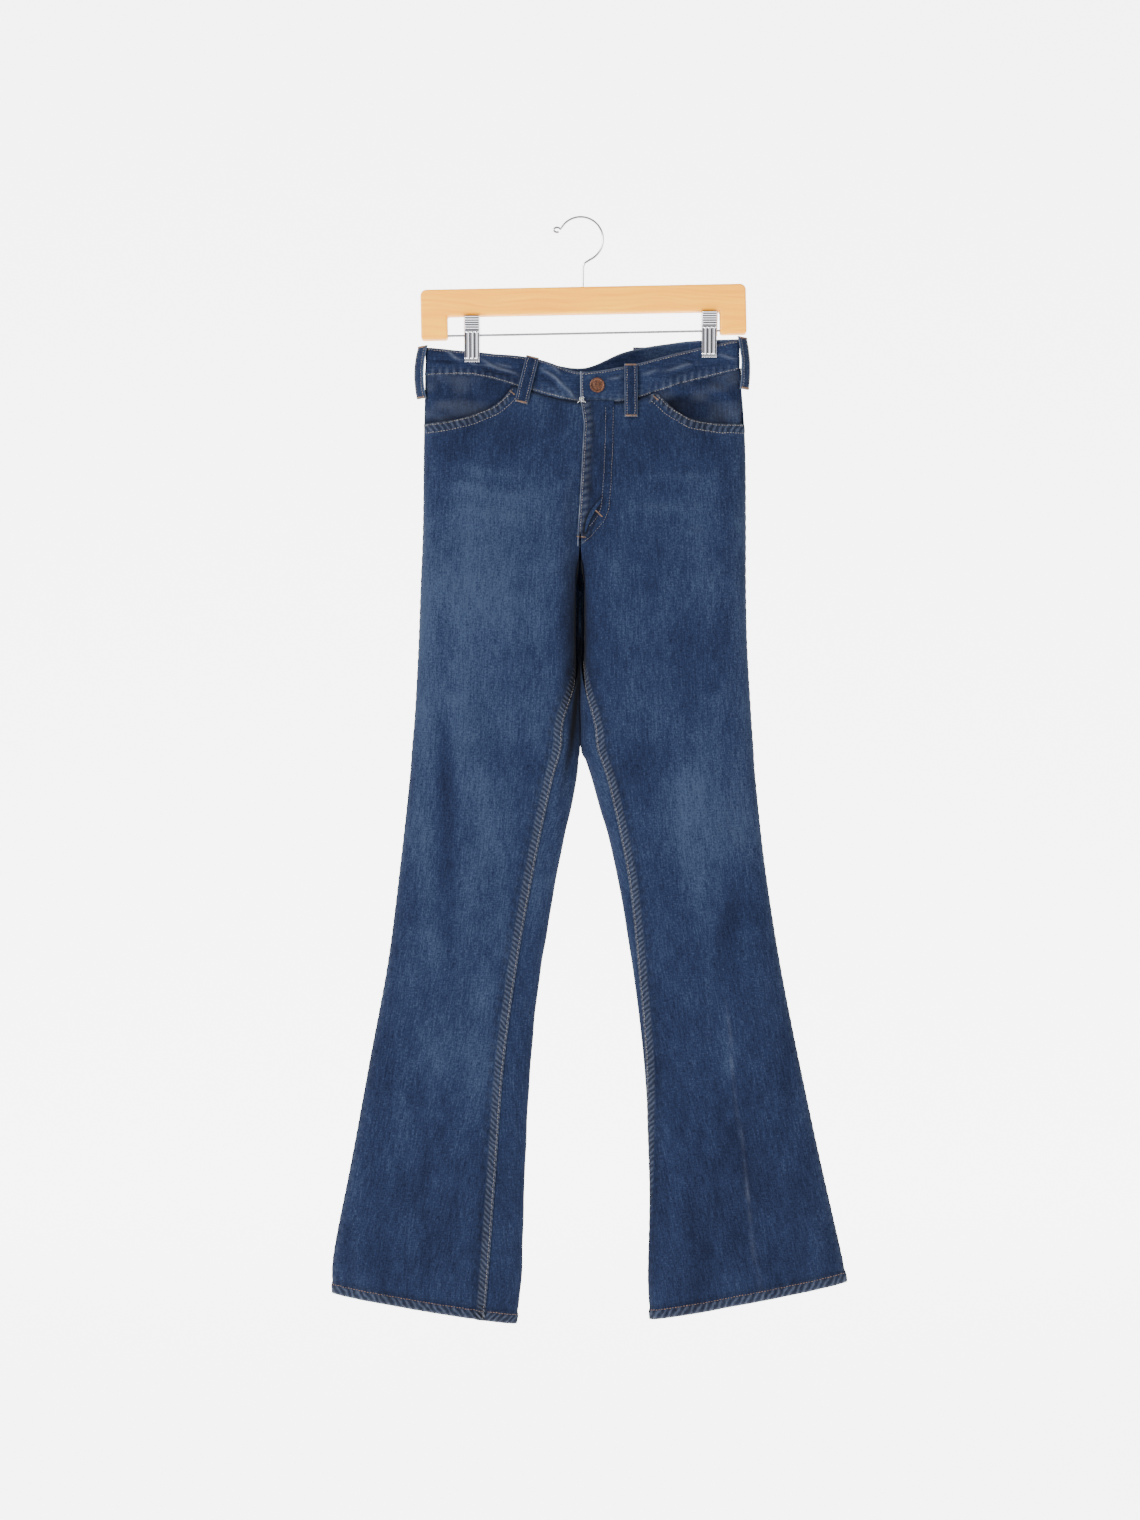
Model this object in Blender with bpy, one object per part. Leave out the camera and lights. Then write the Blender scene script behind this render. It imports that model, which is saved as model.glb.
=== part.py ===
# Flared jeans held by a wooden clip hanger.
# Metres, +Z up, front towards -Y, the wearer's left towards +X.
# The origin is the inside of the hook's crown, where a peg or rail carries the hanger.

import math
from collections import namedtuple

import bmesh
import bpy
import numpy as np
from mathutils import Euler, Vector

# cloth
DENIM = 0.0015              # one layer of denim
BAND_WALL = 0.0026          # waistband, two layers pressed together
STRAP_WALL = 0.0020         # belt loop, folded in three
STRAP_WIDTH = 0.0140
SEAM_GAP = 0.0004           # clear space between neighbouring pieces
LAYER_GAP = 0.0009          # clear space under a piece sewn onto a panel
EDGE_ROUND = 2.5            # squareness of the folded outer edge of a section
FULLNESS = 2.2              # squareness of a section from front to back
OUTSEAM_SHIFT = 0.003       # the outseam lies this far round onto the front
FLY_BOTTOM = -0.378
CROTCH = -0.500
PANEL_COLUMNS = 14
PANEL_ROWS = 26

# hanger
BAR_TOP = Vector((0.0035, 0.0, -0.0816))   # middle of the bar's top face
BAR_TILT = math.radians(1.1)
BAR_LENGTH = 0.380
BAR_HEIGHT = 0.031
BAR_THICK = 0.015
ARM_DROP = 0.058            # height of the arm at each end of the bar
ARM_WIDTH = 0.031
BAR_CORNER = 0.007
ROD_DROP = 0.0535
ROD_RADIUS = 0.00125
WIRE_RADIUS = 0.0012
BORE_GAP = 0.0004
HOOK_RADIUS = 0.0262
HOOK_CENTRE_X = 0.0008

# clips
CLIP_X = (-0.1272, 0.1498)
CLIP_WIDTH = 0.0195
CLIP_RISE = 0.0213          # above the rod
CLIP_FALL = 0.0310          # below the rod
CLIP_PLATE = 0.0008
GRIP = 0.0034               # from the middle plane to the inside of a jaw

Section = namedtuple("Section", "outer_x outer_z inner_x inner_z front back corner inseam")

# A row for each section of the wearer's right leg, from the waist seam to the hem.
# inseam is how far the seam lies round the inner edge onto the front.
RIGHT_SECTIONS = (
    Section(-0.1810, -0.1860, -0.0002, -0.2180, 0.0150, 0.0140, 7.0, 0.000),
    Section(-0.1825, -0.2600, -0.0002, -0.2770, 0.0220, 0.0190, 7.0, 0.000),
    Section(-0.1835, -0.3600, -0.0002, -0.3670, 0.0260, 0.0250, 7.0, 0.000),
    Section(-0.1862, -0.4300, -0.0003, -0.4340, 0.0270, 0.0260, 7.0, 0.000),
    Section(-0.1888, -0.5000, -0.0004, -0.5030, 0.0260, 0.0240, 6.0, 0.001),
    Section(-0.1930, -0.5800, -0.0006, -0.5840, 0.0240, 0.0210, 4.5, 0.0273),
    Section(-0.1962, -0.6180, -0.0008, -0.6220, 0.0235, 0.0200, 3.7, 0.0305),
    Section(-0.1995, -0.6600, -0.0050, -0.6660, 0.0230, 0.0190, 3.0, 0.0370),
    Section(-0.2105, -0.7600, -0.0270, -0.7700, 0.0210, 0.0170, 2.6, 0.0350),
    Section(-0.2245, -0.8700, -0.0465, -0.8850, 0.0195, 0.0160, 2.5, 0.0345),
    Section(-0.2448, -0.9800, -0.0585, -1.0000, 0.0185, 0.0150, 2.5, 0.0365),
    Section(-0.2668, -1.1000, -0.0645, -1.1270, 0.0175, 0.0145, 2.5, 0.0390),
    Section(-0.2880, -1.2100, -0.0685, -1.2430, 0.0170, 0.0140, 2.5, 0.0430),
    Section(-0.2895, -1.2560, -0.0750, -1.2920, 0.0170, 0.0140, 2.5, 0.0410),
)
LEFT_SECTIONS = (
    Section(0.1870, -0.1785, 0.0002, -0.2150, 0.0150, 0.0140, 7.0, 0.000),
    Section(0.1930, -0.2600, 0.0002, -0.2770, 0.0220, 0.0190, 7.0, 0.000),
    Section(0.1940, -0.3600, 0.0002, -0.3670, 0.0260, 0.0250, 7.0, 0.000),
    Section(0.1940, -0.4300, 0.0003, -0.4340, 0.0270, 0.0260, 7.0, 0.000),
    Section(0.1955, -0.5000, 0.0004, -0.5030, 0.0260, 0.0240, 6.0, 0.001),
    Section(0.2000, -0.5800, 0.0006, -0.5840, 0.0240, 0.0210, 4.5, 0.0240),
    Section(0.2027, -0.6180, 0.0016, -0.6220, 0.0235, 0.0200, 3.7, 0.0278),
    Section(0.2055, -0.6600, 0.0160, -0.6660, 0.0230, 0.0190, 3.0, 0.0260),
    Section(0.2165, -0.7600, 0.0430, -0.7700, 0.0210, 0.0170, 2.6, 0.0195),
    Section(0.2335, -0.8700, 0.0620, -0.8850, 0.0195, 0.0160, 2.5, 0.0120),
    Section(0.2550, -0.9800, 0.0755, -1.0000, 0.0185, 0.0150, 2.5, 0.006),
    Section(0.2805, -1.1000, 0.0820, -1.1270, 0.0175, 0.0145, 2.5, 0.0020),
    Section(0.3055, -1.2100, 0.0800, -1.2400, 0.0170, 0.0140, 2.5, -0.0010),
    Section(0.3120, -1.2430, 0.0820, -1.2875, 0.0170, 0.0140, 2.5, -0.0020),
)

# Heights of the long seams, as x and z from the wearer's right to the left.
Mark = namedtuple("Mark", "x z")
FRONT_SEAM = (Mark(-0.181, -0.186), Mark(-0.119, -0.186), Mark(-0.057, -0.205), Mark(0.000, -0.218),
              Mark(0.048, -0.218), Mark(0.130, -0.193), Mark(0.187, -0.1785))
FRONT_TOP = (Mark(-0.181, -0.152), Mark(-0.116, -0.158), Mark(-0.046, -0.1685), Mark(-0.002, -0.182),
             Mark(0.049, -0.1767), Mark(0.142, -0.1516), Mark(0.187, -0.1425))
BACK_SEAM = (Mark(-0.181, -0.186), Mark(-0.116, -0.194), Mark(-0.046, -0.204), Mark(0.005, -0.211),
             Mark(0.052, -0.196), Mark(0.142, -0.1840), Mark(0.187, -0.1785))
BACK_TOP = (Mark(-0.181, -0.152), Mark(-0.116, -0.157), Mark(-0.046, -0.166), Mark(0.005, -0.173),
            Mark(0.052, -0.1545), Mark(0.142, -0.1430), Mark(0.187, -0.1415))
YOKE_SEAM = (Mark(-0.183, -0.228), Mark(-0.090, -0.250), Mark(0.000, -0.276),
             Mark(0.090, -0.250), Mark(0.193, -0.226))
RIGHT_SCOOP = (Mark(-0.183, -0.242), Mark(-0.160, -0.241), Mark(-0.128, -0.234), Mark(-0.100, -0.222),
               Mark(-0.086, -0.210), Mark(-0.078, -0.199))
LEFT_SCOOP = (Mark(0.193, -0.242), Mark(0.160, -0.243), Mark(0.130, -0.238), Mark(0.106, -0.224),
              Mark(0.094, -0.212), Mark(0.086, -0.205))
FLY_CURVE = (Mark(0.0398, -0.222), Mark(0.0393, -0.264), Mark(0.0370, -0.311), Mark(0.0345, -0.343),
             Mark(0.0290, -0.358), Mark(0.0110, -0.3785), Mark(0.0000, -0.386))

# The largest folds: from one end to the other, with the width and depth of the trough.
Fold = namedtuple("Fold", "x1 z1 x2 z2 width depth")
FRONT_FOLDS = (
    Fold(-0.160, -0.540, -0.156, -0.800, 0.016, 0.0040),
    Fold(-0.108, -0.480, -0.120, -0.620, 0.020, 0.0020),
    Fold(0.196, -0.770, 0.156, -0.890, 0.014, 0.0045),
    Fold(0.090, -0.560, 0.108, -0.760, 0.018, 0.0025),
    Fold(-0.200, -1.060, -0.226, -1.250, 0.020, 0.0040),
    Fold(0.206, -1.090, 0.232, -1.250, 0.018, 0.0035),
)
BACK_FOLDS = (
    Fold(-0.120, -0.450, -0.140, -0.640, 0.020, 0.0030),
    Fold(0.120, -0.430, 0.126, -0.620, 0.020, 0.0030),
    Fold(0.010, -0.400, -0.090, -0.520, 0.014, 0.0030),
    Fold(-0.170, -1.050, -0.190, -1.240, 0.022, 0.0035),
    Fold(0.180, -1.040, 0.200, -1.240, 0.022, 0.0035),
)


def ease(value):
    value = np.clip(value, 0.0, 1.0)
    return value * value * (3.0 - 2.0 * value)


def follow(marks, x):
    # smooth height of a seam at x
    ordered = sorted(marks)
    xs = np.array([mark.x for mark in ordered])
    zs = np.array([mark.z for mark in ordered])
    slopes = np.gradient(zs, xs)
    x = np.clip(x, xs[0], xs[-1])
    k = np.clip(np.searchsorted(xs, x, side="right") - 1, 0, len(xs) - 2)
    step = xs[k + 1] - xs[k]
    f = (x - xs[k]) / step
    return ((2 * f**3 - 3 * f**2 + 1) * zs[k] + (f**3 - 2 * f**2 + f) * step * slopes[k]
            + (3 * f**2 - 2 * f**3) * zs[k + 1] + (f**3 - f**2) * step * slopes[k + 1])


def section_at(sections, t):
    # the section at row position t, smooth through the table's rows
    table = np.array(sections)
    k = int(np.clip(math.floor(t), 0, len(table) - 2))
    f = t - k
    before = table[max(k - 1, 0)]
    after = table[min(k + 2, len(table) - 1)]
    row = 0.5 * (2 * table[k] + (table[k + 1] - before) * f
                 + (2 * before - 5 * table[k] + 4 * table[k + 1] - after) * f**2
                 + (3 * table[k] - before - 3 * table[k + 1] + after) * f**3)
    return Section(*row)


def pinch(x, z):
    # how far the two sides are pressed together under the clips
    squeeze = 0.0
    for clip in CLIP_X:
        beside = np.maximum(np.abs(x - clip) - CLIP_WIDTH / 2 - 0.005, 0.0)
        squeeze = squeeze + np.exp(-(beside / 0.032) ** 2)
    return squeeze * ease((z + 0.270) / 0.105)


def fold_depth(folds, x, z):
    # each fold is a soft trough that dies away at its ends
    total = 0.0 * x
    for fold in folds:
        along = np.array((fold.x2 - fold.x1, fold.z2 - fold.z1))
        length = np.hypot(*along)
        along = along / length
        run = (x - fold.x1) * along[0] + (z - fold.z1) * along[1]
        side = (x - fold.x1) * along[1] - (z - fold.z1) * along[0]
        part = np.clip(run / length, 0.0, 1.0)
        total = total + fold.depth * np.sin(np.pi * part) * np.exp(-(side / fold.width) ** 2)
    return total


def bulge(section, x, z, face):
    # how full the cloth stands at x, from 0 at the folded edges to 1
    middle = 0.5 * (section.outer_x + section.inner_x)
    reach = (x - middle) / (section.outer_x - middle)
    power = np.where(reach < 0, section.corner, EDGE_ROUND)
    across = np.clip(np.abs(reach), 0.0, 1.0) ** power
    full = np.clip(1.0 - across, 0.0, 1.0) ** (1.0 / FULLNESS)
    joined = FLY_BOTTOM if face == "front" else FLY_BOTTOM - 0.025
    openness = ease((z - CROTCH) / (joined - CROTCH))
    return np.where(reach < 0, full + openness * (1.0 - full), full)


def cloth_y(section, x, z, face):
    # outer surface of the cloth, negative on the front and positive on the back
    full = bulge(section, x, z, face)
    pressed = 1.0 - 0.80 * np.clip(pinch(x, z), 0.0, 1.0)
    if face == "front":
        return -(section.front * pressed - fold_depth(FRONT_FOLDS, x, z)) * full
    return (section.back * pressed - fold_depth(BACK_FOLDS, x, z)) * full


def row_height(section, x):
    across = (x - section.outer_x) / (section.inner_x - section.outer_x)
    return section.outer_z + (section.inner_z - section.outer_z) * across


def outline(section):
    # the section from the outer edge across the front, round the inner edge and across the back
    faces = []
    for face, angles in (("front", np.linspace(0.0, np.pi, 320)), ("back", np.linspace(np.pi, 2 * np.pi + 0.7, 380))):
        cosine = np.cos(angles)
        power = np.where(cosine < 0, section.corner, EDGE_ROUND)
        middle = 0.5 * (section.outer_x + section.inner_x)
        x = middle + (section.outer_x - middle) * np.sign(cosine) * np.abs(cosine) ** (2.0 / power)
        z = row_height(section, x)
        past_edge = angles > 2 * np.pi
        y = cloth_y(section, x, z, face)
        y = np.where(past_edge, cloth_y(section, x, z, "front"), y)
        faces.append(np.stack((x, y, z)))
    return faces


def panel_row(section, face, fractions):
    # stations along one panel of a section, as points and outward normals
    front, back = outline(section)
    line = np.concatenate((front, back), axis=1)
    step = np.hypot(np.diff(line[0]), np.diff(line[1]))
    turn_index = front.shape[1] - 1
    apart = section.inner_z > CROTCH
    if apart:
        step[turn_index] = 0.0
    length = np.concatenate(([0.0], np.cumsum(step)))
    half_way = length[turn_index]
    all_round = length[turn_index + 1 + int(np.argmax(back[0] * np.sign(section.outer_x)))]
    seam = half_way - section.inseam
    if face == "front":
        start, stop = OUTSEAM_SHIFT + SEAM_GAP / 2, seam - SEAM_GAP / 2
        limits = (0.0, half_way - 1e-6 if apart else length[-1])
    else:
        start, stop = seam + SEAM_GAP / 2, all_round + OUTSEAM_SHIFT - SEAM_GAP / 2
        limits = (half_way + 1e-6 if apart else 0.0, length[-1])
    turn = math.copysign(1.0, section.outer_x)
    return [outward(length, line, start + (stop - start) * part, turn, limits) for part in fractions]


def outward(length, line, station, turn, limits):
    # a point of an outline and its outward normal, averaged over a short stretch
    reach = 0.0030
    here = Vector([float(np.interp(station, length, axis)) for axis in line])
    ends = np.clip((station - reach, station + reach), *limits)
    along = [float(np.diff(np.interp(ends, length, axis))[0]) for axis in line[:2]]
    return here, Vector((-along[1], along[0], 0.0)).normalized() * turn


def spread(count, bunching=0.45):
    # fractions from 0 to 1, closer together at the folded edges
    even = np.linspace(0.0, 1.0, count + 1)
    return even - bunching * np.sin(2.0 * np.pi * even) / (2.0 * np.pi)


def front_top(x):
    # the top edge of a front: the waist seam, or the scoop of the pocket below it
    scoop = LEFT_SCOOP if x > 0 else RIGHT_SCOOP
    seam = float(follow(FRONT_SEAM, x))
    inside = abs(scoop[-1].x) > abs(x)
    return (seam if inside else min(seam, float(follow(scoop, x)))) - SEAM_GAP


def yoke_line(x):
    return float(follow(YOKE_SEAM, x)) - SEAM_GAP / 2


def raised_row(sections, face, t, height):
    # the stations of a row whose height at x is given, each on the section that passes there
    fractions = spread(PANEL_COLUMNS)
    row = []
    for part, (point, _) in zip(fractions, panel_row(section_at(sections, t), face, fractions)):
        z = height(point.x)
        moved, normal = panel_row(section_for(sections, point.x, z), face, [part])[0]
        moved.z = z
        row.append((moved, normal))
    return row


def panel_points(sections, face, top_edge):
    # a grid of points down a leg, its top row drawn along a seam
    rows = []
    last = len(sections) - 1
    first = section_at(sections, 0.0)
    for t in last * np.linspace(0.0, 1.0, PANEL_ROWS + 1):
        fade = max(0.0, 1.0 - t / 3.0)
        section = section_at(sections, t)
        if fade > 0:
            row = raised_row(sections, face, t, lambda x: row_height(section, x)
                             + fade * (top_edge(x) - row_height(first, x)))
        else:
            row = panel_row(section, face, spread(PANEL_COLUMNS))
        rows.append(row)
    return rows


def section_for(sections, x, z):
    # the section that passes through x and z
    low, high = 0.0, len(sections) - 1.0
    for _ in range(14):
        t = 0.5 * (low + high)
        if row_height(section_at(sections, t), x) > z:
            low = t
        else:
            high = t
    return section_at(sections, low)


def surface_point(x, z, face, out=0.0):
    # a point on the cloth, moved out along its normal
    sections = LEFT_SECTIONS if x > 0 else RIGHT_SECTIONS
    step = 0.002
    y = float(cloth_y(section_for(sections, x, z), np.array(x), z, face))
    yx = float(cloth_y(section_for(sections, x, z), np.array(x + step), z, face))
    yz = float(cloth_y(section_for(sections, x, z + step), np.array(x), z + step, face))
    normal = Vector(((yx - y) / step, -1.0, (yz - y) / step)).normalized()
    if face == "back":
        normal = -normal
    return Vector((x, y, z)) + out * normal, normal


def material(name, colour, roughness, metallic):
    finish = bpy.data.materials.new(name)
    finish.use_nodes = True
    shader = finish.node_tree.nodes["Principled BSDF"]
    shader.inputs["Base Color"].default_value = (*colour, 1.0)
    shader.inputs["Roughness"].default_value = roughness
    shader.inputs["Metallic"].default_value = metallic
    return finish


def denim_finish(name):
    return material(name, (0.055, 0.110, 0.205), 0.85, 0.0)


def steel_finish(name):
    return material(name, (0.75, 0.76, 0.78), 0.18, 1.0)


def add_object(name, shape, finish):
    mesh = bpy.data.meshes.new(name)
    bmesh.ops.recalc_face_normals(shape, faces=shape.faces)
    if shape.calc_volume(signed=True) < 0:
        bmesh.ops.reverse_faces(shape, faces=shape.faces)
    shape.to_mesh(mesh)
    shape.free()
    mesh.materials.append(finish)
    thing = bpy.data.objects.new(name, mesh)
    bpy.context.collection.objects.link(thing)
    return thing


def smooth_shading(thing, angle=40.0):
    thing.data.shade_smooth()
    thing.data.set_sharp_from_angle(angle=math.radians(angle))


def wall_object(name, rows, wall, finish):
    # a wall whose outer face runs through rows of (point, normal), its inner face behind it
    shape = bmesh.new()
    count = len(rows[0]) - 1
    bmesh.ops.create_grid(shape, x_segments=count, y_segments=len(rows) - 1, size=1.0)
    corners = {}
    for vert in shape.verts:
        column = round((vert.co.x + 1.0) / 2.0 * count)
        row = round((1.0 - vert.co.y) / 2.0 * (len(rows) - 1))
        corners[vert.co.copy().freeze()] = rows[row][column]
    grown = bmesh.ops.extrude_face_region(shape, geom=shape.faces[:], use_keep_orig=True)["geom"]
    inner = {item for item in grown if isinstance(item, bmesh.types.BMVert)}
    for vert in shape.verts:
        point, normal = corners[vert.co.copy().freeze()]
        vert.co = point - normal * wall if vert in inner else point
    thing = add_object(name, shape, finish)
    smooth_shading(thing)
    return thing


FRONT = Vector((0.0, -1.0, 0.0))
BACK = Vector((0.0, 1.0, 0.0))


def build_fronts():
    for name, sections in (("front_right", RIGHT_SECTIONS), ("front_left", LEFT_SECTIONS)):
        wall_object(name, panel_points(sections, "front", front_top), DENIM, denim_finish(name))


def build_backs():
    for name, sections in (("back_right", RIGHT_SECTIONS), ("back_left", LEFT_SECTIONS)):
        wall_object(name, panel_points(sections, "back", yoke_line), DENIM, denim_finish(name))


def yoke_height(x, fraction):
    high = float(follow(BACK_SEAM, x)) - 3 * SEAM_GAP
    low = yoke_line(x) + SEAM_GAP
    return high + (low - high) * fraction


def build_yokes():
    # from the back waist seam down to the yoke seam, with the same columns as the back
    for name, sections in (("yoke_right", RIGHT_SECTIONS), ("yoke_left", LEFT_SECTIONS)):
        rows = [raised_row(sections, "back", 0.0, lambda x: yoke_height(x, fraction))
                for fraction in np.linspace(0.0, 1.0, 4)]
        wall_object(name, rows, DENIM, denim_finish(name))


def build_facings():
    # the facing fills the scoop, set back where the front covers it
    inset = DENIM + LAYER_GAP
    below_rim = 0.012
    for name, side, outer, scoop in (("pocket_facing_right", -1, 0.1690, RIGHT_SCOOP),
                                     ("pocket_facing_left", 1, 0.1740, LEFT_SCOOP)):
        rows = []
        for fraction in np.linspace(0.0, 1.0, 6):
            row = []
            for reach in np.linspace(0.066, outer, 10):
                x = side * reach
                high = float(follow(FRONT_SEAM, x)) - SEAM_GAP
                low = float(follow(scoop, x)) - below_rim
                z = high + (low - high) * fraction
                row.append(surface_point(x, z, "front", -inset))
            rows.append(row)
        wall_object(name, rows, DENIM, denim_finish(name))


def build_back_pockets():
    # a five-cornered patch on each back, made from the panel's points
    width = 0.140
    height = 0.150
    point = 0.022               # rise of the lower edge from its middle to its corners
    top = -0.272
    for name, centre in (("back_pocket_right", -0.100), ("back_pocket_left", 0.104)):
        rows = []
        for down in np.linspace(0.0, 1.0, 7):
            half = width / 2 * (1.0 - 0.08 * down)
            row = []
            for across in np.linspace(-1.0, 1.0, 7):
                lowest = height - point * abs(across)
                x = centre + half * across
                z = top - lowest * down
                row.append(surface_point(x, z, "back", DENIM + LAYER_GAP))
            rows.append(row)
        wall_object(name, rows, DENIM, denim_finish(name))


def build_fly():
    # the placket lies on the two fronts, straight at its free edge and curved at its stitched one
    xs = np.array([mark.x for mark in FLY_CURVE])
    zs = np.array([mark.z for mark in FLY_CURVE])
    top = -0.2195
    lean = 0.026
    rows = []
    for z in (top, -0.250, -0.285, -0.320, -0.343, -0.358, -0.370, -0.3785, -0.384):
        edge = 0.0012 + (z - top) * lean
        far = float(np.interp(-z, -zs, xs))
        row = [surface_point(edge + (far - edge) * part, z, "front", DENIM + LAYER_GAP)
               for part in (0.0, 0.34, 0.67, 1.0)]
        rows.append(row)
    wall_object("fly", rows, DENIM, denim_finish("fly"))


def waist_columns():
    # the panels' own columns all round the waist, from the lapped end by the left side and the back
    columns = []
    for sections, side in ((LEFT_SECTIONS, 1), (RIGHT_SECTIONS, -1)):
        section = section_at(sections, 0.0)
        front = [(point, normal, "front") for point, normal in panel_row(section, "front", spread(PANEL_COLUMNS))]
        back = [(point, normal, "back") for point, normal in panel_row(section, "back", spread(PANEL_COLUMNS))]
        half = front[:0:-1] + back[:0:-1] + back[:1]
        columns += half if side > 0 else half[::-1]
    return columns


def band_point(x, face, up):
    # a point of the waistband, up from its lower edge (0) to its top edge (1)
    low, high = (FRONT_SEAM, FRONT_TOP) if face == "front" else (BACK_SEAM, BACK_TOP)
    low_z = float(follow(low, x))
    z = low_z + (float(follow(high, x)) - low_z) * up
    section = section_at(LEFT_SECTIONS if x > 0 else RIGHT_SECTIONS, 0.0)
    return Vector((x, float(cloth_y(section, np.array(x), z, face)), z))


def build_waistband():
    columns = waist_columns()
    lap = 0.040                 # how far the right end runs on under the left one
    tuck = BAND_WALL + LAYER_GAP
    dip_start = -0.030
    dip_length = 0.026
    rows = []
    for up in (1.0, 0.5, 0.0):
        row = [(band_point(point.x, face, up), normal) for point, normal, face in columns]
        # the right end dips behind the left one and runs on under it
        for point, _ in row:
            if point.y < 0 and point.x < 0:
                point.y += tuck * float(ease((point.x - dip_start) / dip_length))
        for part in (0.05, 0.35, 0.7, 1.0):
            point = band_point(lap * part, "front", up)
            row.append((point + Vector((0.0, tuck, 0.0)), FRONT))
        rows.append(row)
    wall_object("waistband", rows, BAND_WALL, denim_finish("waistband"))


def strap(name, centres, across, facing, finish):
    # a belt loop along its middle line, with its width along across
    half = STRAP_WIDTH / 2
    rows = [[(centre + side * half * across + STRAP_WALL * facing, facing) for side in (-1, 1)]
            for centre in centres]
    return wall_object(name, rows, STRAP_WALL, finish)


def build_loops():
    bow = 0.0032
    parts = np.linspace(0.0, 1.0, 9)
    Loop = namedtuple("Loop", "name face top_x low_x rise drop")
    for loop in (Loop("loop_front_right", "front", -0.0550, -0.0680, 0.0010, 0.016),
                 Loop("loop_front_left", "front", 0.0590, 0.0590, 0.0010, 0.018),
                 Loop("loop_back_right", "back", -0.0490, -0.0490, 0.0015, 0.018),
                 Loop("loop_back_left", "back", 0.0700, 0.0700, 0.0015, 0.018)):
        low, high = (FRONT_SEAM, FRONT_TOP) if loop.face == "front" else (BACK_SEAM, BACK_TOP)
        centres = []
        top_z = float(follow(high, loop.top_x)) + loop.rise
        low_z = float(follow(low, loop.low_x)) - loop.drop
        for part in parts:
            x = loop.top_x + (loop.low_x - loop.top_x) * part
            z = top_z + (low_z - top_z) * part
            section = section_for(LEFT_SECTIONS if x > 0 else RIGHT_SECTIONS, x, min(z, -0.2))
            y = float(cloth_y(section, np.array(x), z, loop.face))
            off = LAYER_GAP + bow * math.sin(math.pi * part) ** 0.7
            centres.append(Vector((x, y + (-off if loop.face == "front" else off), z)))
        strap(loop.name, centres, Vector((1.0, 0.0, 0.0)), FRONT if loop.face == "front" else BACK,
              denim_finish(loop.name))
    for name, side, top, low, swell, turn in (
            ("loop_side_right", -1, Vector((-0.1822, 0, -0.1510)), Vector((-0.1835, 0, -0.2110)), 0.0085, 0.0),
            ("loop_side_left", 1, Vector((0.1882, 0, -0.1405)), Vector((0.1905, 0, -0.2000)), 0.0070, 0.35)):
        centres = []
        for part in parts:
            centre = top.lerp(low, part)
            centre.x += side * (LAYER_GAP + swell * math.sin(math.pi * part) ** 0.8)
            centres.append(centre)
        across = Vector((-side * math.sin(turn), math.cos(turn), 0.0))
        strap(name, centres, across, Vector((side, 0, 0)), denim_finish(name))


def turned(profile, segments, axis, name, finish, place, closed=True):
    # a profile of (radius, height) turned round an axis
    shape = bmesh.new()
    verts = [shape.verts.new((radius, 0.0, height)) for radius, height in profile]
    edges = [shape.edges.new(pair) for pair in zip(verts, verts[1:])]
    if closed:
        edges.append(shape.edges.new((verts[-1], verts[0])))
    bmesh.ops.spin(shape, geom=verts + edges, cent=(0, 0, 0), axis=(0, 0, 1), angle=2 * math.pi,
                   steps=segments, use_merge=True)
    bmesh.ops.remove_doubles(shape, verts=shape.verts, dist=1e-6)
    thing = add_object(name, shape, finish)
    thing.rotation_euler = axis
    thing.location = place
    smooth_shading(thing)
    return thing


def build_button():
    copper = material("copper", (0.36, 0.16, 0.08), 0.45, 0.9)
    profile = ((0.0, 0.0004), (0.0035, 0.0004), (0.0035, 0.0016), (0.0078, 0.0018), (0.0087, 0.0026),
               (0.0082, 0.0034), (0.0066, 0.0036), (0.0058, 0.0031), (0.0, 0.0034))
    x, z = 0.020, -0.1985
    section = section_at(LEFT_SECTIONS, 0.0)
    y = float(cloth_y(section, np.array(x), z, "front"))
    turned(profile, 28, Euler((math.pi / 2, 0, 0)), "button", copper, (x, y - 0.0002, z), closed=False)


def bar_place(x, z):
    # a point of the tilted hanger, from the middle of the bar's top face
    return BAR_TOP + Vector((x * math.cos(BAR_TILT) - z * math.sin(BAR_TILT), 0.0,
                             x * math.sin(BAR_TILT) + z * math.cos(BAR_TILT)))


def rounded(corner, centre, start, steps=5):
    return [(centre[0] + corner * math.cos(math.radians(start + 90.0 * k / steps)),
             centre[1] + corner * math.sin(math.radians(start + 90.0 * k / steps))) for k in range(steps + 1)]


def bar_outline():
    end = BAR_LENGTH / 2
    inner = end - ARM_WIDTH
    small = 0.003
    right = rounded(small, (inner + small, -ARM_DROP + small), 180.0)
    right += rounded(small, (end - small, -ARM_DROP + small), 270.0)
    right += rounded(BAR_CORNER, (end - BAR_CORNER, -BAR_CORNER), 0.0)
    right = [(inner, -BAR_HEIGHT)] + right
    left = [(-x, z) for x, z in reversed(right)]
    return right + left


def cutter_rod(name, start, stop, radius):
    shape = bmesh.new()
    along = stop - start
    bmesh.ops.create_cone(shape, cap_ends=True, segments=16, radius1=radius, radius2=radius,
                          depth=along.length)
    turn = along.to_track_quat("Z", "Y").to_matrix().to_4x4()
    turn.translation = (start + stop) / 2
    bmesh.ops.transform(shape, matrix=turn, verts=shape.verts)
    cutter = add_object(name, shape, steel_finish(name))
    cutter.hide_render = True
    cutter.display_type = "WIRE"
    return cutter


def cut(thing, cutter):
    boolean = thing.modifiers.new(cutter.name, "BOOLEAN")
    boolean.operation = "DIFFERENCE"
    boolean.solver = "EXACT"
    boolean.object = cutter


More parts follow.
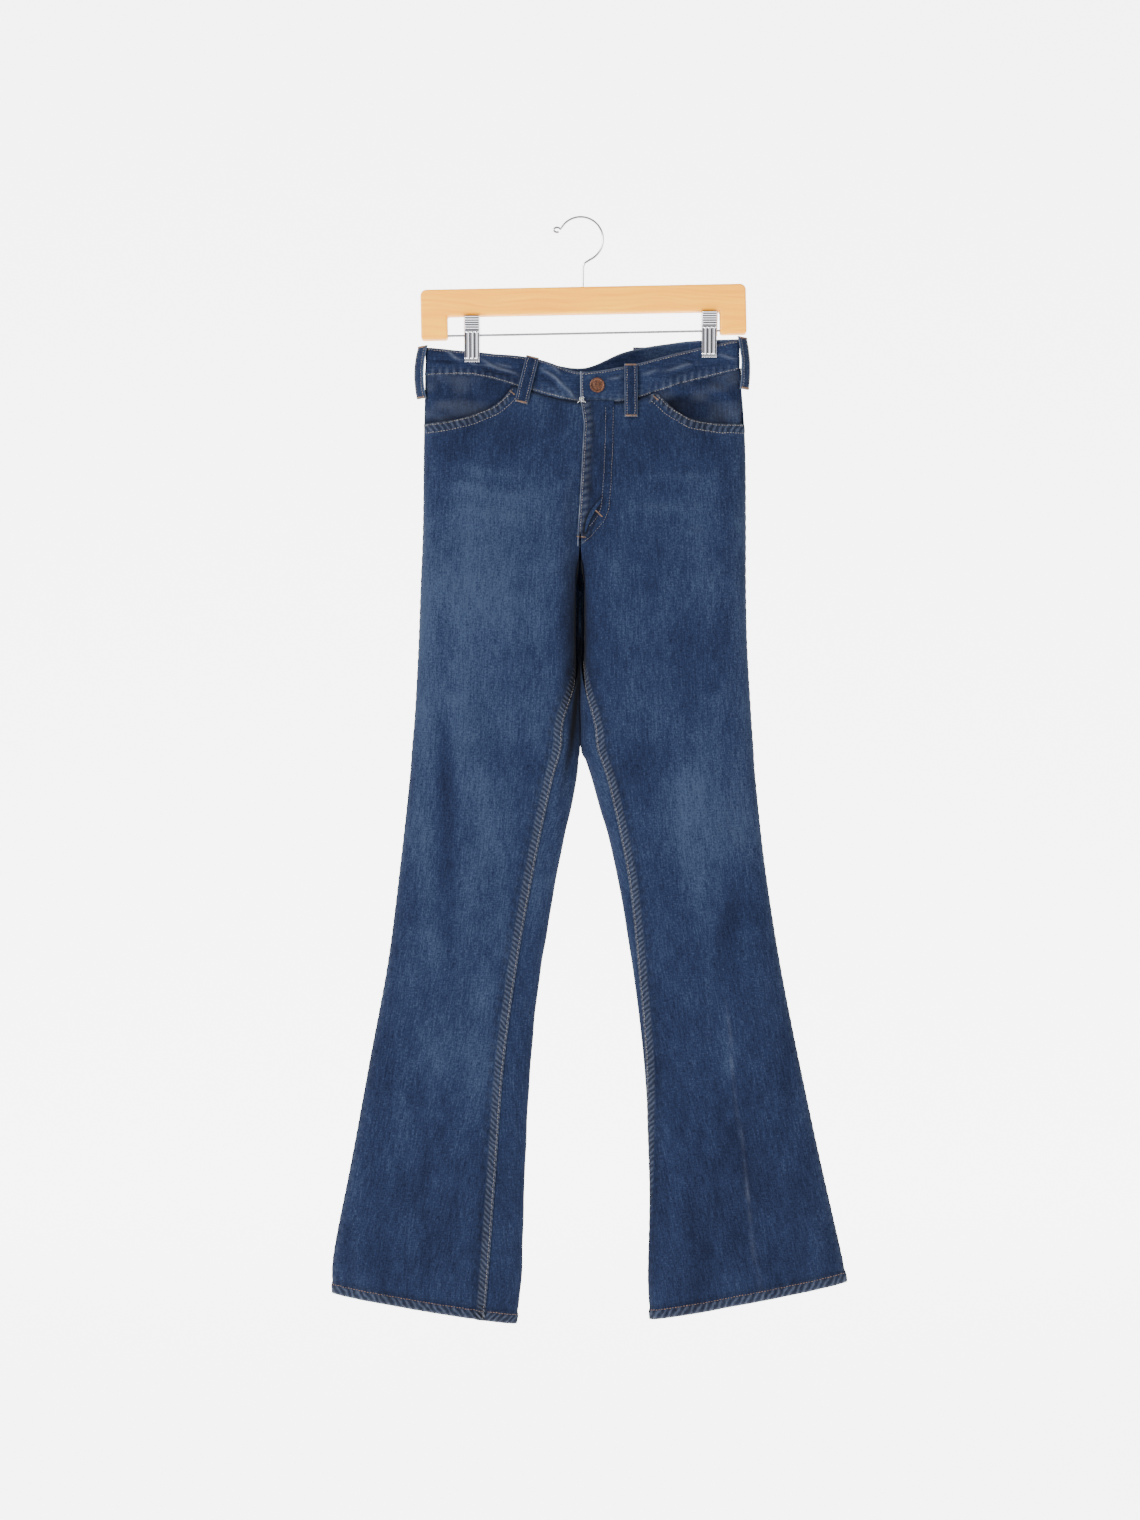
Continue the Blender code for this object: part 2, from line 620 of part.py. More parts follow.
def build_bar():
    shape = bmesh.new()
    verts = [shape.verts.new((x, -BAR_THICK / 2, z)) for x, z in bar_outline()]
    face = shape.faces.new(verts)
    grown = bmesh.ops.extrude_face_region(shape, geom=[face])["geom"]
    bmesh.ops.translate(shape, vec=(0, BAR_THICK, 0),
                        verts=[item for item in grown if isinstance(item, bmesh.types.BMVert)])
    wood = material("beech", (0.62, 0.40, 0.19), 0.42, 0.0)
    bar = add_object("hanger_bar", shape, wood)
    bar.rotation_euler = (0.0, -BAR_TILT, 0.0)
    bar.location = BAR_TOP
    bevel = bar.modifiers.new("edges", "BEVEL")
    bevel.width = 0.0022
    bevel.segments = 2
    bevel.limit_method = "ANGLE"
    bevel.angle_limit = math.radians(60)
    bevel.harden_normals = False
    cut(bar, cutter_rod("stem_bore", bar_place(0, -0.0225), bar_place(0, 0.010), WIRE_RADIUS + BORE_GAP))
    reach = BAR_LENGTH / 2 - ARM_WIDTH + 0.012
    cut(bar, cutter_rod("rod_bore", bar_place(-reach, -ROD_DROP), bar_place(reach, -ROD_DROP),
                        ROD_RADIUS + BORE_GAP))
    smooth_shading(bar, 35.0)


def wire(name, points, radius, finish, resolution=3):
    # a round wire along points, with filled ends
    curve = bpy.data.curves.new(name, "CURVE")
    curve.dimensions = "3D"
    spline = curve.splines.new("POLY")
    spline.points.add(len(points) - 1)
    for place, point in zip(spline.points, points):
        place.co = (*point, 1.0)
    curve.bevel_depth = radius
    curve.bevel_resolution = resolution
    curve.use_fill_caps = True
    curve.materials.append(finish)
    thing = bpy.data.objects.new(name, curve)
    bpy.context.collection.objects.link(thing)
    return thing


def hook_path():
    # stem, neck, three quarters of a ring, and the eyelet that closes its end
    centre = Vector((HOOK_CENTRE_X, 0.0, WIRE_RADIUS - HOOK_RADIUS))
    stem = [bar_place(0, -0.0222), bar_place(0, -0.010), bar_place(0, 0.004), Vector((0.0036, 0, -0.064)),
            Vector((0.0037, 0, -0.0575)), Vector((0.0052, 0, -0.0530))]
    ring = []
    for angle in np.linspace(-66.0, 148.0, 26):
        ring.append(centre + HOOK_RADIUS * Vector((math.cos(math.radians(angle)), 0.0,
                                                   math.sin(math.radians(angle)))))
    eye_centre = Vector((-0.0268, 0.0, -0.0140))
    eye = []
    for angle in np.linspace(12.0, 300.0, 12):
        eye.append(eye_centre + Vector((0.0040 * math.cos(math.radians(angle)), 0.0,
                                        0.0028 * math.sin(math.radians(angle)))))
    return stem + ring + eye


def build_hook_and_rod():
    wire("hanger_hook", hook_path(), WIRE_RADIUS, steel_finish("hook_steel"))
    reach = BAR_LENGTH / 2 - ARM_WIDTH + 0.0115
    wire("hanger_rod", [bar_place(-reach, -ROD_DROP), bar_place(reach, -ROD_DROP)], ROD_RADIUS,
         steel_finish("rod_steel"))


def jaw_outline(face, shrink):
    # side view of a jaw as (y, z) about the rod: a leaning plate with an ear round the rod
    top = 0.0120 - shrink
    waist = 0.0078 - shrink
    low = GRIP + CLIP_PLATE - shrink
    rim = 0.0042
    outer = [(top, CLIP_RISE), (waist, 0.0), (low, -CLIP_FALL)]
    inner = [(low - CLIP_PLATE if shrink == 0 else -0.02, -CLIP_FALL)]
    if shrink == 0:
        inner += [(low - CLIP_PLATE + 0.0001, -0.0098), (-0.0022, -0.0046), (-0.0022, 0.0040),
                  (waist - 0.0010, 0.0085), (top - rim, CLIP_RISE)]
    else:
        inner += [(-0.02, CLIP_RISE)]
    return [(face * y, z) for y, z in outer + inner]


def jaw_prism(name, face, place, width, shrink, overshoot, finish):
    shape = bmesh.new()
    points = jaw_outline(face, shrink)
    if overshoot:
        lengthen = 0.004
        points = [(y, z * (1.0 + lengthen / 0.02) if abs(z) > 0.02 else z) for y, z in points]
    verts = [shape.verts.new((-width / 2, y, z)) for y, z in points]
    side = shape.faces.new(verts)
    grown = bmesh.ops.extrude_face_region(shape, geom=[side])["geom"]
    bmesh.ops.translate(shape, vec=(width, 0, 0),
                        verts=[item for item in grown if isinstance(item, bmesh.types.BMVert)])
    bmesh.ops.translate(shape, vec=place, verts=shape.verts)
    return add_object(name, shape, finish)


def build_clips():
    for word, clip_x in zip(("right", "left"), CLIP_X):
        place = bar_place((clip_x - BAR_TOP.x) / math.cos(BAR_TILT), -ROD_DROP)
        bore = cutter_rod("bore_" + word, place - Vector((0.02, 0, 0)), place + Vector((0.02, 0, 0)),
                          ROD_RADIUS + BORE_GAP)
        for face_word, face, width in (("front", -1, CLIP_WIDTH), ("back", 1, CLIP_WIDTH - 0.0022)):
            name = "clip_" + word + "_" + face_word
            chrome = steel_finish(name)
            jaw = jaw_prism(name, face, place, width, 0.0, False, chrome)
            hollow = jaw_prism(name + "_hollow", face, place, width - 2 * CLIP_PLATE, CLIP_PLATE, True, chrome)
            hollow.hide_render = True
            hollow.display_type = "WIRE"
            cut(jaw, hollow)
            cut(jaw, bore)
        ring = ((ROD_RADIUS + BORE_GAP, -0.006), (0.0034, -0.006), (0.0034, 0.006), (ROD_RADIUS + BORE_GAP, 0.006))
        turned(ring, 16, Euler((0, math.pi / 2, 0)), "clip_" + word + "_spring", steel_finish("spring_" + word),
               place)


def main():
    for thing in list(bpy.data.objects):
        bpy.data.objects.remove(thing, do_unlink=True)
    build_fronts()
    build_backs()
    build_yokes()
    build_facings()
    build_back_pockets()
    build_fly()
    build_waistband()
    build_loops()
    build_button()
    build_bar()
    build_hook_and_rod()
    build_clips()


main()
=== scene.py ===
import math

import bmesh
import bpy
import numpy as np
from mathutils import Matrix, Vector
from mathutils.bvhtree import BVHTree


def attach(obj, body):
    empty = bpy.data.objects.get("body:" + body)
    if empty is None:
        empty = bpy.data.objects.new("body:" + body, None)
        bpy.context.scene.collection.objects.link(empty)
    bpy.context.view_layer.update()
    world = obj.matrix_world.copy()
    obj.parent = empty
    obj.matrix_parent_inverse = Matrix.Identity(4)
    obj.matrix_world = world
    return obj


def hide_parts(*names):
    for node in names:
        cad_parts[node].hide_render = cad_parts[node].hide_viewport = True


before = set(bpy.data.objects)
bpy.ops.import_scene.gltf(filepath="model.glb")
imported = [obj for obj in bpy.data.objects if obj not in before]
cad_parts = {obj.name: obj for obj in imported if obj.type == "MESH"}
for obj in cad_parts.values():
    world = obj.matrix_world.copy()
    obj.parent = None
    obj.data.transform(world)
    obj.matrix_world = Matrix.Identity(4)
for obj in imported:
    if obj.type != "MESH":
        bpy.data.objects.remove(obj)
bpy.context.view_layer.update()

denimThick = 0.0015
bandThick = 0.0026
edgeRound = 2.5
fullness = 2.2
outseamShift = 0.003
flyBottom = -0.378
crotch = -0.500
hemDepth = 0.012
seamWide = 0.011
panelColumns = 84
panelRows = 360
clipPlaces = (-0.1272, 0.1498)
clipWide = 0.0195

# Sections of a leg from the waist seam to the hem:
# outer x, outer z, inner x, inner z, front depth, back depth, squareness, inseam's reach onto the front.
rightSections = np.array((
    (-0.1810, -0.1860, -0.0002, -0.2180, 0.0150, 0.0140, 7.0, 0.000),
    (-0.1825, -0.2600, -0.0002, -0.2770, 0.0220, 0.0190, 7.0, 0.000),
    (-0.1835, -0.3600, -0.0002, -0.3670, 0.0260, 0.0250, 7.0, 0.000),
    (-0.1862, -0.4300, -0.0003, -0.4340, 0.0270, 0.0260, 7.0, 0.000),
    (-0.1888, -0.5000, -0.0004, -0.5030, 0.0260, 0.0240, 6.0, 0.001),
    (-0.1930, -0.5800, -0.0006, -0.5840, 0.0240, 0.0210, 4.5, 0.0273),
    (-0.1962, -0.6180, -0.0008, -0.6220, 0.0235, 0.0200, 3.7, 0.0305),
    (-0.1995, -0.6600, -0.0050, -0.6660, 0.0230, 0.0190, 3.0, 0.0370),
    (-0.2105, -0.7600, -0.0270, -0.7700, 0.0210, 0.0170, 2.6, 0.035),
    (-0.2245, -0.8700, -0.0465, -0.8850, 0.0195, 0.0160, 2.5, 0.0345),
    (-0.2448, -0.9800, -0.0585, -1.0000, 0.0185, 0.0150, 2.5, 0.0365),
    (-0.2668, -1.1000, -0.0645, -1.1270, 0.0175, 0.0145, 2.5, 0.039),
    (-0.2880, -1.2100, -0.0685, -1.2430, 0.0170, 0.0140, 2.5, 0.043),
    (-0.2895, -1.2560, -0.0750, -1.2920, 0.0170, 0.0140, 2.5, 0.041)))
leftSections = np.array((
    (0.1870, -0.1785, 0.0002, -0.2150, 0.0150, 0.0140, 7.0, 0.000),
    (0.1930, -0.2600, 0.0002, -0.2770, 0.0220, 0.0190, 7.0, 0.000),
    (0.1940, -0.3600, 0.0002, -0.3670, 0.0260, 0.0250, 7.0, 0.000),
    (0.1940, -0.4300, 0.0003, -0.4340, 0.0270, 0.0260, 7.0, 0.000),
    (0.1955, -0.5000, 0.0004, -0.5030, 0.0260, 0.0240, 6.0, 0.001),
    (0.2000, -0.5800, 0.0006, -0.5840, 0.0240, 0.0210, 4.5, 0.0240),
    (0.2027, -0.6180, 0.0016, -0.6220, 0.0235, 0.0200, 3.7, 0.0278),
    (0.2055, -0.6600, 0.0160, -0.6660, 0.0230, 0.0190, 3.0, 0.026),
    (0.2165, -0.7600, 0.0430, -0.7700, 0.0210, 0.0170, 2.6, 0.0195),
    (0.2335, -0.8700, 0.0620, -0.8850, 0.0195, 0.0160, 2.5, 0.012),
    (0.2550, -0.9800, 0.0755, -1.0000, 0.0185, 0.0150, 2.5, 0.006),
    (0.2805, -1.1000, 0.0820, -1.1270, 0.0175, 0.0145, 2.5, -0.004),
    (0.3055, -1.2100, 0.0800, -1.2400, 0.0170, 0.0140, 2.5, -0.010),
    (0.3120, -1.2430, 0.0820, -1.2875, 0.0170, 0.0140, 2.5, -0.010)))
sideSections = {"right": rightSections, "left": leftSections}

# Heights of the long seams as (x, z), from the wearer's right to the left.
frontSeam = ((-0.181, -0.186), (-0.119, -0.186), (-0.057, -0.205), (0.000, -0.218),
             (0.048, -0.218), (0.130, -0.193), (0.187, -0.1785))
frontTop = ((-0.181, -0.152), (-0.116, -0.158), (-0.046, -0.1685), (-0.002, -0.182),
            (0.049, -0.1767), (0.142, -0.1516), (0.187, -0.1425))
backSeam = ((-0.181, -0.186), (-0.116, -0.194), (-0.046, -0.204), (0.005, -0.211),
            (0.052, -0.196), (0.142, -0.1840), (0.187, -0.1785))
backTop = ((-0.181, -0.152), (-0.116, -0.157), (-0.046, -0.166), (0.005, -0.173),
           (0.052, -0.1545), (0.142, -0.1430), (0.187, -0.1415))
yokeSeam = ((-0.183, -0.228), (-0.090, -0.250), (0.000, -0.276), (0.090, -0.250), (0.193, -0.226))
rightScoop = ((-0.183, -0.242), (-0.160, -0.241), (-0.128, -0.234), (-0.100, -0.222),
              (-0.086, -0.210), (-0.078, -0.199))
leftScoop = ((0.193, -0.242), (0.160, -0.243), (0.130, -0.238), (0.106, -0.224),
             (0.094, -0.212), (0.086, -0.205))
flyCurve = ((0.0398, -0.222), (0.0393, -0.264), (0.0370, -0.311), (0.0345, -0.343),
            (0.0290, -0.358), (0.0110, -0.3785), (0.0000, -0.386))
flyEdge = ((0.0010, -0.181), (0.0004, -0.214), (0.0046, -0.242), (0.0018, -0.295),
           (-0.0010, -0.343), (-0.0030, -0.372), (-0.0030, -0.386))

# Folds in the solid's own form: x, z at each end, width, depth of the trough.
frontFolds = (
    (-0.160, -0.540, -0.156, -0.800, 0.016, 0.0040),
    (-0.108, -0.480, -0.120, -0.620, 0.020, 0.0020),
    (0.196, -0.770, 0.156, -0.890, 0.014, 0.0045),
    (0.090, -0.560, 0.108, -0.760, 0.018, 0.0025),
    (-0.200, -1.060, -0.226, -1.250, 0.020, 0.0040),
    (0.206, -1.090, 0.232, -1.250, 0.018, 0.0035))
backFolds = (
    (-0.120, -0.450, -0.140, -0.640, 0.020, 0.0030),
    (0.120, -0.430, 0.126, -0.620, 0.020, 0.0030),
    (0.010, -0.400, -0.090, -0.520, 0.014, 0.0030),
    (-0.170, -1.050, -0.190, -1.240, 0.022, 0.0035),
    (0.180, -1.040, 0.200, -1.240, 0.022, 0.0035))

# Finer creases laid on top, the same way; a negative depth is a raised ridge.
frontCreases = (
    (-0.150, -0.262, -0.060, -0.300, 0.006, 0.0008),
    (-0.165, -0.302, -0.040, -0.322, 0.007, 0.0009),
    (-0.120, -0.338, -0.020, -0.345, 0.006, 0.0010),
    (-0.172, -0.372, -0.070, -0.362, 0.008, 0.0008),
    (0.172, -0.288, 0.060, -0.306, 0.007, 0.0008),
    (0.150, -0.330, 0.046, -0.338, 0.006, 0.0009),
    (0.178, -0.366, 0.080, -0.356, 0.008, 0.0007),
    (-0.010, -0.392, -0.060, -0.440, 0.008, 0.0016),
    (0.006, -0.396, 0.050, -0.450, 0.008, 0.0014),
    (-0.004, -0.430, -0.034, -0.520, 0.009, 0.0016),
    (0.004, -0.440, 0.030, -0.530, 0.009, 0.0015),
    (-0.060, -0.600, -0.080, -0.700, 0.010, 0.0010),
    (-0.182, -0.640, -0.170, -0.760, 0.008, 0.0014),
    (-0.150, -0.800, -0.130, -0.900, 0.012, 0.0014),
    (-0.110, -0.700, -0.090, -0.790, 0.010, 0.0010),
    (-0.200, -0.900, -0.190, -1.010, 0.011, 0.0013),
    (-0.120, -0.960, -0.140, -1.090, 0.013, 0.0012),
    (-0.165, -1.120, -0.172, -1.262, 0.011, 0.0016),
    (-0.252, -1.150, -0.262, -1.262, 0.009, -0.0012),
    (0.172, -0.640, 0.186, -0.740, 0.009, 0.0012),
    (0.132, -0.780, 0.120, -0.850, 0.010, 0.0013),
    (0.080, -0.690, 0.104, -0.780, 0.010, 0.0010),
    (0.158, -0.890, 0.150, -1.000, 0.010, 0.0014),
    (0.216, -0.900, 0.206, -1.010, 0.010, 0.0012),
    (0.118, -0.980, 0.128, -1.120, 0.012, 0.0012),
    (0.168, -0.915, 0.186, -1.072, 0.0022, -0.0007),
    (0.186, -1.050, 0.209, -1.240, 0.0022, -0.0008),
    (0.150, -1.130, 0.160, -1.262, 0.011, 0.0016),
    (0.262, -1.120, 0.278, -1.250, 0.009, -0.0012))
backCreases = (
    (-0.160, -0.420, -0.060, -0.450, 0.008, 0.0010),
    (0.160, -0.430, 0.050, -0.452, 0.008, 0.0010),
    (-0.150, -0.500, -0.040, -0.560, 0.010, 0.0014),
    (0.140, -0.500, 0.040, -0.570, 0.010, 0.0013),
    (-0.160, -0.760, -0.060, -0.790, 0.009, 0.0014),
    (-0.150, -0.800, -0.070, -0.835, 0.008, 0.0012),
    (0.170, -0.770, 0.070, -0.785, 0.009, 0.0014),
    (0.176, -0.812, 0.080, -0.840, 0.008, 0.0012),
    (-0.190, -0.900, -0.180, -1.040, 0.012, 0.0013),
    (0.150, -0.920, 0.166, -1.060, 0.012, 0.0013),
    (-0.240, -1.120, -0.250, -1.260, 0.010, 0.0014),
    (0.230, -1.100, 0.256, -1.250, 0.010, 0.0014),
    (0.120, -1.120, 0.124, -1.270, 0.011, 0.0012))

# Patches of tone: x, z, reach in x, reach in z, how much paler (or, below zero, darker). The pale ones are
# where the dye has worn; some dark ones are painted shade.
frontTones = (
    (-0.095, -0.450, 0.070, 0.120, 0.26),
    (-0.110, -0.280, 0.080, 0.050, -0.04),
    (-0.150, -0.560, 0.050, 0.160, 0.16),
    (0.110, -0.480, 0.060, 0.120, 0.03),
    (0.100, -0.260, 0.090, 0.060, -0.10),
    (-0.110, -0.262, 0.080, 0.040, -0.16),
    (0.110, -0.330, 0.060, 0.030, 0.06),
    (-0.100, -0.335, 0.070, 0.022, 0.08),
    (0.142, -0.700, 0.042, 0.075, 0.36),
    (-0.110, -0.700, 0.055, 0.090, 0.12),
    (-0.185, -0.470, 0.016, 0.220, 0.18),
    (0.188, -0.470, 0.014, 0.220, 0.14),
    # these two are painted shade along the troughs of two front folds
    (-0.156, -0.680, 0.011, 0.150, -0.30),
    (0.176, -0.835, 0.013, 0.060, -0.34),
    # painted shade in the valley between the legs
    (0.000, -0.480, 0.020, 0.090, -0.35),
    (-0.160, -1.130, 0.090, 0.130, -0.10),
    (0.170, -1.130, 0.090, 0.130, -0.16),
    (-0.130, -0.980, 0.070, 0.130, 0.17),
    (-0.180, -0.860, 0.040, 0.100, 0.10),
    (0.150, -0.960, 0.030, 0.080, 0.14),
    (0.060, -0.620, 0.030, 0.090, -0.14))
backTones = (
    (-0.095, -0.460, 0.080, 0.090, 0.34),
    (0.100, -0.460, 0.080, 0.090, 0.34),
    (-0.100, -0.345, 0.055, 0.050, 0.22),
    (0.104, -0.345, 0.055, 0.050, 0.22),
    (-0.110, -0.680, 0.070, 0.120, 0.10),
    (0.120, -0.680, 0.070, 0.120, 0.10),
    (-0.130, -0.800, 0.060, 0.050, -0.14),
    (0.130, -0.800, 0.060, 0.050, -0.14),
    (-0.170, -1.180, 0.080, 0.100, -0.12),
    (0.180, -1.180, 0.080, 0.100, -0.12))


def ease(value):
    value = np.clip(value, 0.0, 1.0)
    return value * value * (3.0 - 2.0 * value)


def bell(value, width):
    return np.exp(-(value / width) ** 2)


def follow(marks, x):
    # smooth height of a seam at x
    table = np.array(sorted(marks))
    xs, zs = table[:, 0], table[:, 1]
    slopes = np.gradient(zs, xs)
    x = np.clip(x, xs[0], xs[-1])
    k = np.clip(np.searchsorted(xs, x, side="right") - 1, 0, len(xs) - 2)
    step = xs[k + 1] - xs[k]
    f = (x - xs[k]) / step
    return ((2 * f**3 - 3 * f**2 + 1) * zs[k] + (f**3 - 2 * f**2 + f) * step * slopes[k]
            + (3 * f**2 - 2 * f**3) * zs[k + 1] + (f**3 - f**2) * step * slopes[k + 1])


def latticeNoise(u, v, cell, seed):
    # smooth random values from -1 to 1 on a lattice of the given cell (across, along)
    lattice = np.random.default_rng(seed).uniform(-1.0, 1.0, (256, 256))
    a, b = u / cell[0] + 64.0, v / cell[1] + 64.0
    i, j = np.floor(a).astype(int), np.floor(b).astype(int)
    p, q = ease(a - i), ease(b - j)
    corner = [lattice[(i + di) % 256, (j + dj) % 256] for di in (0, 1) for dj in (0, 1)]
    return (corner[0] * (1 - p) * (1 - q) + corner[1] * (1 - p) * q
            + corner[2] * p * (1 - q) + corner[3] * p * q)


def rowsAt(table, t):
    # sections at row positions t; above the first row its section is carried straight up
    last = len(table) - 1
    inside = np.clip(t, 0.0, last)
    k = np.clip(np.floor(inside).astype(int), 0, last - 1)
    f = (inside - k)[:, None]
    here, after = table[k], table[k + 1]
    before, beyond = table[np.maximum(k - 1, 0)], table[np.minimum(k + 2, last)]
    rows = 0.5 * (2 * here + (after - before) * f + (2 * before - 5 * here + 4 * after - beyond) * f**2
                  + (3 * here - before - 3 * after + beyond) * f**3)
    rows[:, [1, 3]] -= 0.06 * np.minimum(t, 0.0)[:, None]
    return rows


def pinch(x, z):
    # how far the two sides are pressed together under the clips
    squeeze = 0.0
    for clip in clipPlaces:
        beside = np.maximum(np.abs(x - clip) - clipWide / 2 - 0.005, 0.0)
        squeeze = squeeze + bell(beside, 0.032)
    return np.clip(squeeze * ease((z + 0.270) / 0.105), 0.0, 1.0)


def troughs(folds, x, z):
    # soft troughs that die away at their ends
    total = 0.0 * x
    for x1, z1, x2, z2, width, depth in folds:
        length = math.hypot(x2 - x1, z2 - z1)
        ax, az = (x2 - x1) / length, (z2 - z1) / length
        run = (x - x1) * ax + (z - z1) * az
        side = (x - x1) * az - (z - z1) * ax
        side = side + min(0.025 * length, 0.6 * width) * np.sin(2.2 * np.pi * run / length + 37.0 * x1)
        part = np.clip(run / length, 0.0, 1.0)
        total = total + depth * np.sin(np.pi * part) * bell(side, width)
    return total


def clothDepth(section, x, z, face):
    # outer surface of the cloth, negative on the front and positive on the back
    outerX, _, innerX, _, front, back, corner, _ = section
    middle = 0.5 * (outerX + innerX)
    reach = (x - middle) / (outerX - middle)
    power = np.where(reach < 0, corner, edgeRound)
    full = np.clip(1.0 - np.clip(np.abs(reach), 0.0, 1.0) ** power, 0.0, 1.0) ** (1.0 / fullness)
    joined = flyBottom if face == "front" else flyBottom - 0.025
    openness = ease((z - crotch) / (joined - crotch))
    full = np.where(reach < 0, full + openness * (1.0 - full), full)
    pressed = 1.0 - 0.80 * pinch(x, z)
    if face == "front":
        return -(front * pressed - troughs(frontFolds, x, z)) * full
    return (back * pressed - troughs(backFolds, x, z)) * full


def sectionOutline(section):
    # from the outer edge across the front, round the inner edge and back across the back
    outerX, outerZ, innerX, innerZ = section[:4]
    middle = 0.5 * (outerX + innerX)
    faces = []
    for face, angles in (("front", np.linspace(0.0, np.pi, 420)),
                         ("back", np.linspace(np.pi, 2 * np.pi + 0.7, 460))):
        cosine = np.cos(angles)
        power = np.where(cosine < 0, section[6], edgeRound)
        x = middle + (outerX - middle) * np.sign(cosine) * np.abs(cosine) ** (2.0 / power)
        z = outerZ + (innerZ - outerZ) * (x - outerX) / (innerX - outerX)
        y = clothDepth(section, x, z, face)
        y = np.where(angles > 2 * np.pi, clothDepth(section, x, z, "front"), y)
        faces.append(np.stack((x, y, z)))
    return faces


def spread(count, bunching=0.45):
    # fractions from 0 to 1, closer together at the folded edges
    even = np.linspace(0.0, 1.0, count + 1)
    return even - bunching * np.sin(2.0 * np.pi * even) / (2.0 * np.pi)


def naturalGrid(side, face, fractions, count=420):
    # dense rows of stations down one panel, with each station's distance from both seams
    table = sideSections[side]
    positions = np.linspace(-0.75, len(table) - 1, count)
    points = np.zeros((count, len(fractions), 3))
    toOut = np.zeros((count, len(fractions)))
    toIn = np.zeros((count, len(fractions)))
    for i, section in enumerate(rowsAt(table, positions)):
        front, back = sectionOutline(section)
        line = np.concatenate((front, back), axis=1)
        step = np.hypot(np.diff(line[0]), np.diff(line[1]))
        turnIndex = front.shape[1] - 1
        if section[3] > crotch:
            step[turnIndex] = 0.0
        length = np.concatenate(([0.0], np.cumsum(step)))
        allRound = length[turnIndex + 1 + int(np.argmax(back[0] * np.sign(section[0])))]
        seam = length[turnIndex] - section[7]
        start, stop = (outseamShift, seam) if face == "front" else (seam, allRound + outseamShift)
        stations = start + (stop - start) * fractions
        apart = section[3] > crotch
        if apart:  # keep every station on its own side of the jump between the two faces
            stations = np.clip(stations, 0.0 if face == "front" else seam + 1e-6,
                               seam - 1e-6 if face == "front" else length[-1])
        points[i] = np.stack([np.interp(stations, length, axis) for axis in line], axis=1)
        near, far = stations - start, stop - stations
        toOut[i], toIn[i] = (near, far) if face == "front" else (far, near)
    return points, toOut, toIn


def crossing(column, edge):
    # the row position at which a column passes below a seam
    over = column[:, 2] - edge(column[:, 0])
    first = int(np.argmax(over < 0))
    return first - 1 + over[first - 1] / (over[first - 1] - over[first])


def resample(grid, extras, topEdge, rows, bottomEdge=None):
    # each column drawn afresh from the seam above it to its own hem or lower seam
    points = np.zeros((rows + 1, grid.shape[1], 3))
    more = [np.zeros(points.shape[:2]) for _ in extras]
    for k in range(grid.shape[1]):
        column = grid[:, k]
        top = crossing(column, topEdge)
        index = np.arange(len(column))
        depth = -column[:, 2]
        last = np.interp(crossing(column, bottomEdge), index, depth) if bottomEdge else depth[-1]
        wanted = np.linspace(np.interp(top, index, depth), last, rows + 1)
        where = np.interp(wanted, depth, index)
        where[0] = top
        for axis in range(3):
            points[:, k, axis] = np.interp(where, index, column[:, axis])
        for given, made in zip(extras, more):
            made[:, k] = np.interp(where, index, given[:, k])
    return points, more


def gridNormals(points, outward):
    # unit normals of a grid of points, turned to agree with outward at its middle
    down = np.gradient(points, axis=0)
    across = np.gradient(points, axis=1)
    normal = np.cross(across, down)
    normal /= np.maximum(np.linalg.norm(normal, axis=2, keepdims=True), 1e-12)
    rows, columns = points.shape[:2]
    middle = normal[rows // 2, columns // 2]
    return normal if np.dot(middle, outward) > 0 else -normal


def addThing(name, data):
    thing = bpy.data.objects.new(name, data)
    bpy.context.collection.objects.link(thing)
    return thing


def settle(thing, node=None):
    # every piece rides with the one body, and stands for a node of the solids where it has one
    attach(thing, "root")
    if node:
        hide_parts(node)
    return thing


def lengthAlong(line):
    # distance from the start of a line of points to each of them
    return np.concatenate(([0.0], np.cumsum(np.linalg.norm(np.diff(line, axis=0), axis=1))))


def pointsAt(stations, length, line):
    return np.stack([np.interp(stations, length, axis) for axis in line.T], axis=1)


def gridArea(points):
    side = np.linalg.norm(np.cross(points[1:, :-1] - points[:-1, :-1], points[:-1, 1:] - points[:-1, :-1]),
                          axis=2)
    other = np.linalg.norm(np.cross(points[1:, :-1] - points[1:, 1:], points[:-1, 1:] - points[1:, 1:]),
                           axis=2)
    return float(0.5 * (side.sum() + other.sum()))


def gridSize(points):
    # greatest length across the rows and down the columns
    across = np.linalg.norm(np.diff(points, axis=1), axis=2).sum(axis=1).max()
    down = np.linalg.norm(np.diff(points, axis=0), axis=2).sum(axis=0).max()
    return float(across), float(down)


def setSheet(thing, points, restsOn, withPieces=()):
    width, length = gridSize(points)
    area = min(gridArea(points), width * length)
    print(thing.name, "flat", round(width, 3), round(length, 3), "area", round(area, 4))


